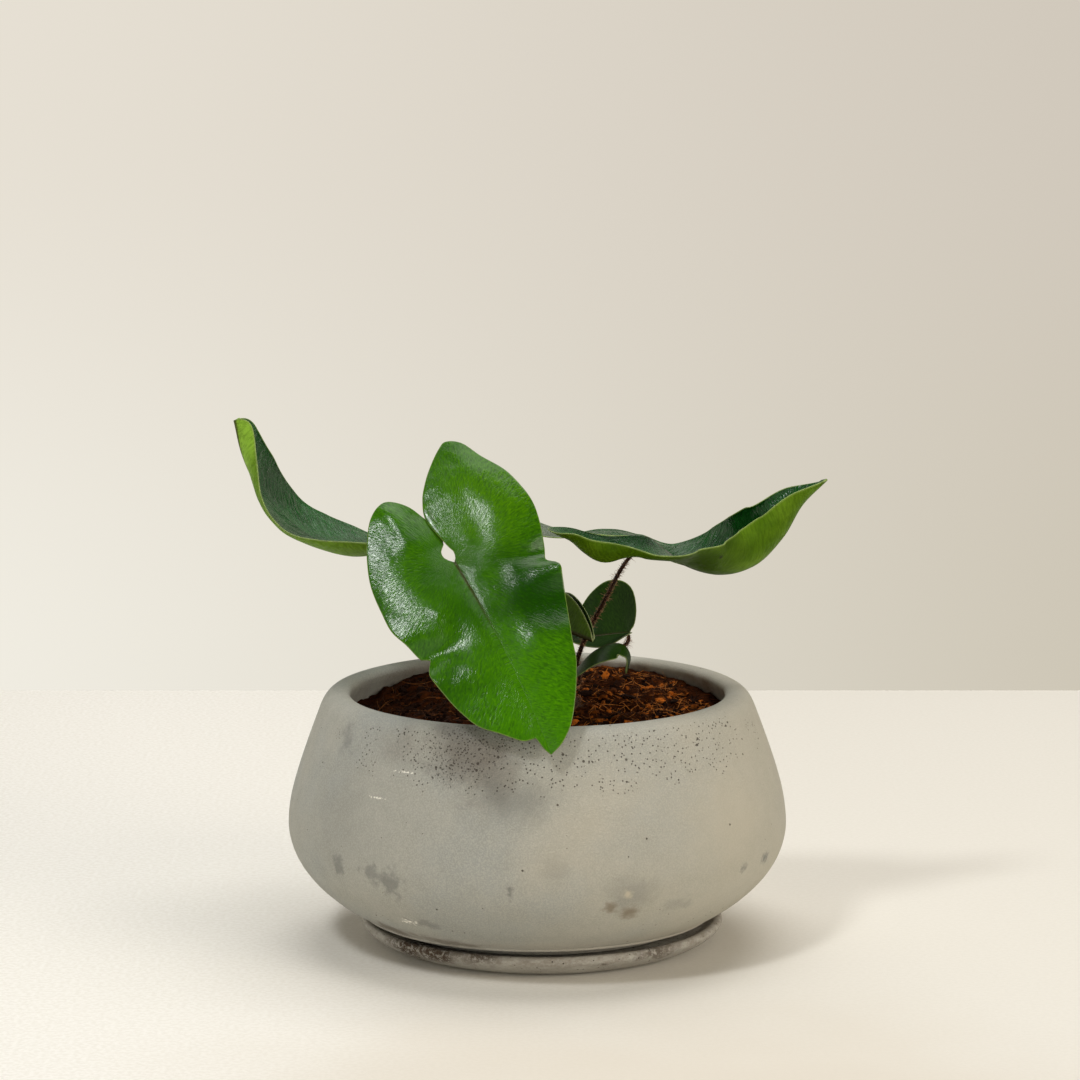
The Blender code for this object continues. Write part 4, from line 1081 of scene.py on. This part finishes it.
# Young blades: three small fronds low in the pot that are still unrolling. One stands up, one
# is folded like a shell and one arches over as a hood. They are darker and hardly lobed.
YOUNG_HALF = [
    (-1, 0.8), (-3.4, 2.6), (-4.4, 7), (-2.4, 12), (2, 14.6), (8, 15), (14, 13), (20, 9.4), (25, 5),
    (27.5, 1.7), (28, 0),
]
YOUNG_FRONDS = {
    "young_upright": {
        "scale": (0.56, 0.95),
        "lobes": {"left": 0.25, "right": 0.8},
        "midrib": [
            (-4, 28.1, 21, 77), (0, 24.3, 21, 77), (8, 16.4, 20.8, 76.4), (15.7, 8.8, 20.4, 75.2),
        ],
        "across": (0, -1, 0),
        "right": [(-4, 70, 14), (0, 72, 14), (8, 66, 14), (12, 52, 14), (15.7, 45, 14)],
        "left": [(-4, 14, -4), (0, 11, -4), (8, 0, -10), (15.7, -6, -10)],
        "stalk": [(11, 9.6, 69), (18, 14.4, 73), (23.4, 18.6, 74.3)],
    },
    "young_folded": {
        "scale": (0.75, 0.62),
        "midrib": [
            (-3, 3.2, 4.4, 81.6), (0, 4.6, 1.8, 82), (6, 7, -2.4, 82.2), (12, 9.9, -7.4, 82),
            (21, 14.2, -15, 81.6),
        ],
        "across": (0.87, 0.5, 0),
        "right": [(-3, 84, 10), (0, 88, 10), (10, 92, 8), (21, 92, 8)],
        "left": [(-3, 70, 10), (0, 72, 10), (10, 74, 10), (21, 72, 10)],
        "stalk": [(4.9, 1.4, 69), (4.8, 1.8, 76)],
    },
    "young_low": {
        "scale": (0.8, 0.45),
        "midrib": [
            (-4, 7.4, -4, 69.2), (0, 10, -4, 72.2), (8, 15.8, -4, 77.6), (11.5, 19.4, -4.2, 79),
            (15, 22.8, -4.6, 78.4), (18, 24.3, -5.2, 75.8), (22.4, 23.3, -6.4, 71.2),
        ],
        "across": (0, 1, 0),
        "right": [
            (-4, -2, -10), (0, -6, -10), (8, -22, -20), (14, -40, -20), (22.4, -20, -20),
        ],
        "left": [(-4, -20, -20), (0, -20, -20), (12, -24, -20), (22.4, -12, -20)],
        "stalk": [(9.6, -0.4, 66.8), (11, -2.6, 68.6)],
    },
}
young_skin = [
    blade_face("young_blade_face", (0.006, 0.022, 0.001), (0.013, 0.04, 0.002), 0.36, 0.14),
    blade_back("young_blade_back", (0.048, 0.1, 0.0004), (0.072, 0.14, 0.0008)),
    blade_edge("young_blade_margin", (0.2, 0.24, 0.08)),
]
for name, frond in YOUNG_FRONDS.items():
    frond.update(outline={"left": YOUNG_HALF, "right": YOUNG_HALF}, groove=0.15, rib=0.2)
    make_blade(name + "_blade", frond, 0.4, 28, young_skin, (0.45, 0.28))

# Stalks: wiry stipes about a millimetre thick, nearly black and polished, that rise from the
# crown and run on into the back of the blade. Soft brown hairs stand out all along them.
FOOT_RING = 3.5
STALK_POINTS = 90
HAIRS_PER_MM = 34
STALK_ANGLES = {"right": -5, "young_upright": 45, "back": 95, "left": 150, "front": 215,
                "young_folded": 265, "young_low": 315}
skin = rough_finish("stalk_skin", 1.4, 3, (0.014, 0.006, 0.004), (0.05, 0.02, 0.011), 0.45, 0.15,
                    fine=0.06)
down = rough_finish("stalk_hair", 1, 4, (0.26, 0.105, 0.05), (0.62, 0.36, 0.21), 0.6, 0.2)
order = np.arange(float(STALK_POINTS))
for number, (name, frond) in enumerate({**FRONDS, **YOUNG_FRONDS}.items()):
    rng = np.random.default_rng(60 + number)
    turn = math.radians(STALK_ANGLES[name])
    foot = CROWN_PLACE + np.array(polar(FOOT_RING, turn))
    joint, _, up = midrib_at(frond, np.array([0.0]))
    route = [(*foot, 60.3), (*foot, 62.5), (*foot, 65.5), *frond["stalk"], joint[0] - 0.45 * up[0]]
    path = smooth_line(route, STALK_POINTS) + (POT_SHIFT, 0.0, 0.0)
    thick = np.linspace(0.66, 0.46, STALK_POINTS) * (1 + 0.05 * cloud(order, 0.0 * order, 5.0, number))
    thick[0] = thick[-1] = 0.0
    stem = strands_along(path[None], thick[None], 12)
    hairs = int(run_along(path)[-1] * HAIRS_PER_MM)
    at = rng.uniform(0.06, 0.99, hairs) * (STALK_POINTS - 1)
    root = read_off(at, order, path)
    heading = unit(rng.normal(0, 1, (hairs, 3)))
    ahead = unit(read_off(at, order, np.gradient(path, axis=0)))
    heading = heading - (heading * ahead).sum(-1, keepdims=True) * ahead
    heading = unit(heading + rng.uniform(0.0, 0.6, (hairs, 1)) * ahead)
    long = rng.uniform(0.4, 1.8, hairs) * np.where(rng.uniform(0, 1, hairs) > 0.75, 1.0, 0.55)
    hair = bristles(root + 0.4 * heading, heading, long, 0.05, 0.15)
    points, faces, which = joined(stem, hair)
    new_piece(name + "_stipe", points, faces, [skin, down], [name + "_stalk"], which=which)

# The table top: a pale board, not part of the object, with painted light and shade: lighter at the left than
# at the right, and a warm painted shade across its front.
REACH = 337 * MM
board = bpy.data.meshes.new("table_top")
board.from_pydata([(x * REACH, y * REACH, 0.0) for x, y in ((-1, -1), (1, -1), (1, 1), (-1, 1))], [],
                  [(0, 1, 2, 3)])
finish = Finish("table_top")
# Painted light: the board is painted lighter at the left than at the right.
finish.body = finish.tint(finish.step(finish.axes()[0], -150, 80), (0.93, 0.905, 0.85), (0.82, 0.785, 0.715))
finish.paint(finish.lumps(1.2, 0.35, 0.65, 3), (0.78, 0.745, 0.67), 0.5)
# Painted shade: a warm, darker patch across the front of the board.
finish.paint_spots(((30, -160, 0), 150, (0.72, 0.655, 0.555), 0.7, (1, 1, 1), 0.2))
finish.finished(0.75, 0.2)
board.materials.append(finish.material)
table = placed("table_top", board)

# The room: cream walls, brighter at the left, under a dim ceiling. Above the height of the
# table only the wall at the back stays bright, so that the leaves have something to mirror.
world = bpy.data.worlds.new("pale_room")
bpy.context.scene.world = world
room = Mixture(world)
way = room.add("TexCoord", {})["Generated"]
way_x, way_y, way_z = room.add("SeparateXYZ", {0: way})
rightward = room.step(way_x, -0.22, 0.22)
high = room.tint(rightward, (0.81, 0.76, 0.67), (0.62, 0.565, 0.485))
low = room.tint(rightward, (0.9, 0.87, 0.785), (0.59, 0.54, 0.44))
cream = room.tint(room.step(way_z, -0.04, -0.19), high, low)
behind = room.times(room.step(way_y, 0.1, 0.6), room.step(way_z, 0.62, 0.28))
ahead = room.tint(room.step(way_z, 0.30, 0.55), (0.9, 0.87, 0.79), (0.04, 0.04, 0.038))
whole = room.tint(room.step(way_z, 0, 0.12), cream, room.tint(behind, ahead, cream))
room.wire(room.tree.nodes["Background"], {"Color": whole})

# Three soft lights: one high in front at the left, a warm one at the right, and one overhead.
for name, place, size, power, colour in (
    ("soft_box", (-0.47, -0.72, 1.1), 0.21, 5.6, (0.97, 0.99, 1)),
    ("warm_light", (1.15, -0.9, 0.58), 0.9, 8.5, (1, 0.92, 0.8)),
    ("overhead", (0.08, 0.3, 1.3), 1.3, 12.8, (1, 0.98, 0.95)),
):
    lamp = bpy.data.lights.new(name, "AREA")
    lamp.shape = "DISK"
    lamp.size = size
    lamp.energy = power
    lamp.color = colour
    item = placed(name, lamp)
    item.location = place
    x, y, z = np.subtract((0, 0, 0.07), place)
    item.rotation_euler = (math.atan2(math.hypot(x, y), -z), 0, math.atan2(y, x) - math.pi / 2)

# The camera stands a metre in front and looks slightly down on the bowl.
lens = bpy.data.cameras.new("camera")
lens.sensor_width = 36.0
lens.lens = 128.5
bpy.context.scene.view_settings.view_transform = "Standard"
camera = placed("camera", lens)
camera.location = (-0.65 * MM, -988.3 * MM, 257.7 * MM)
camera.rotation_euler = (math.radians(90.0 - 8.77), 0.0, 0.0)
bpy.context.scene.camera = camera
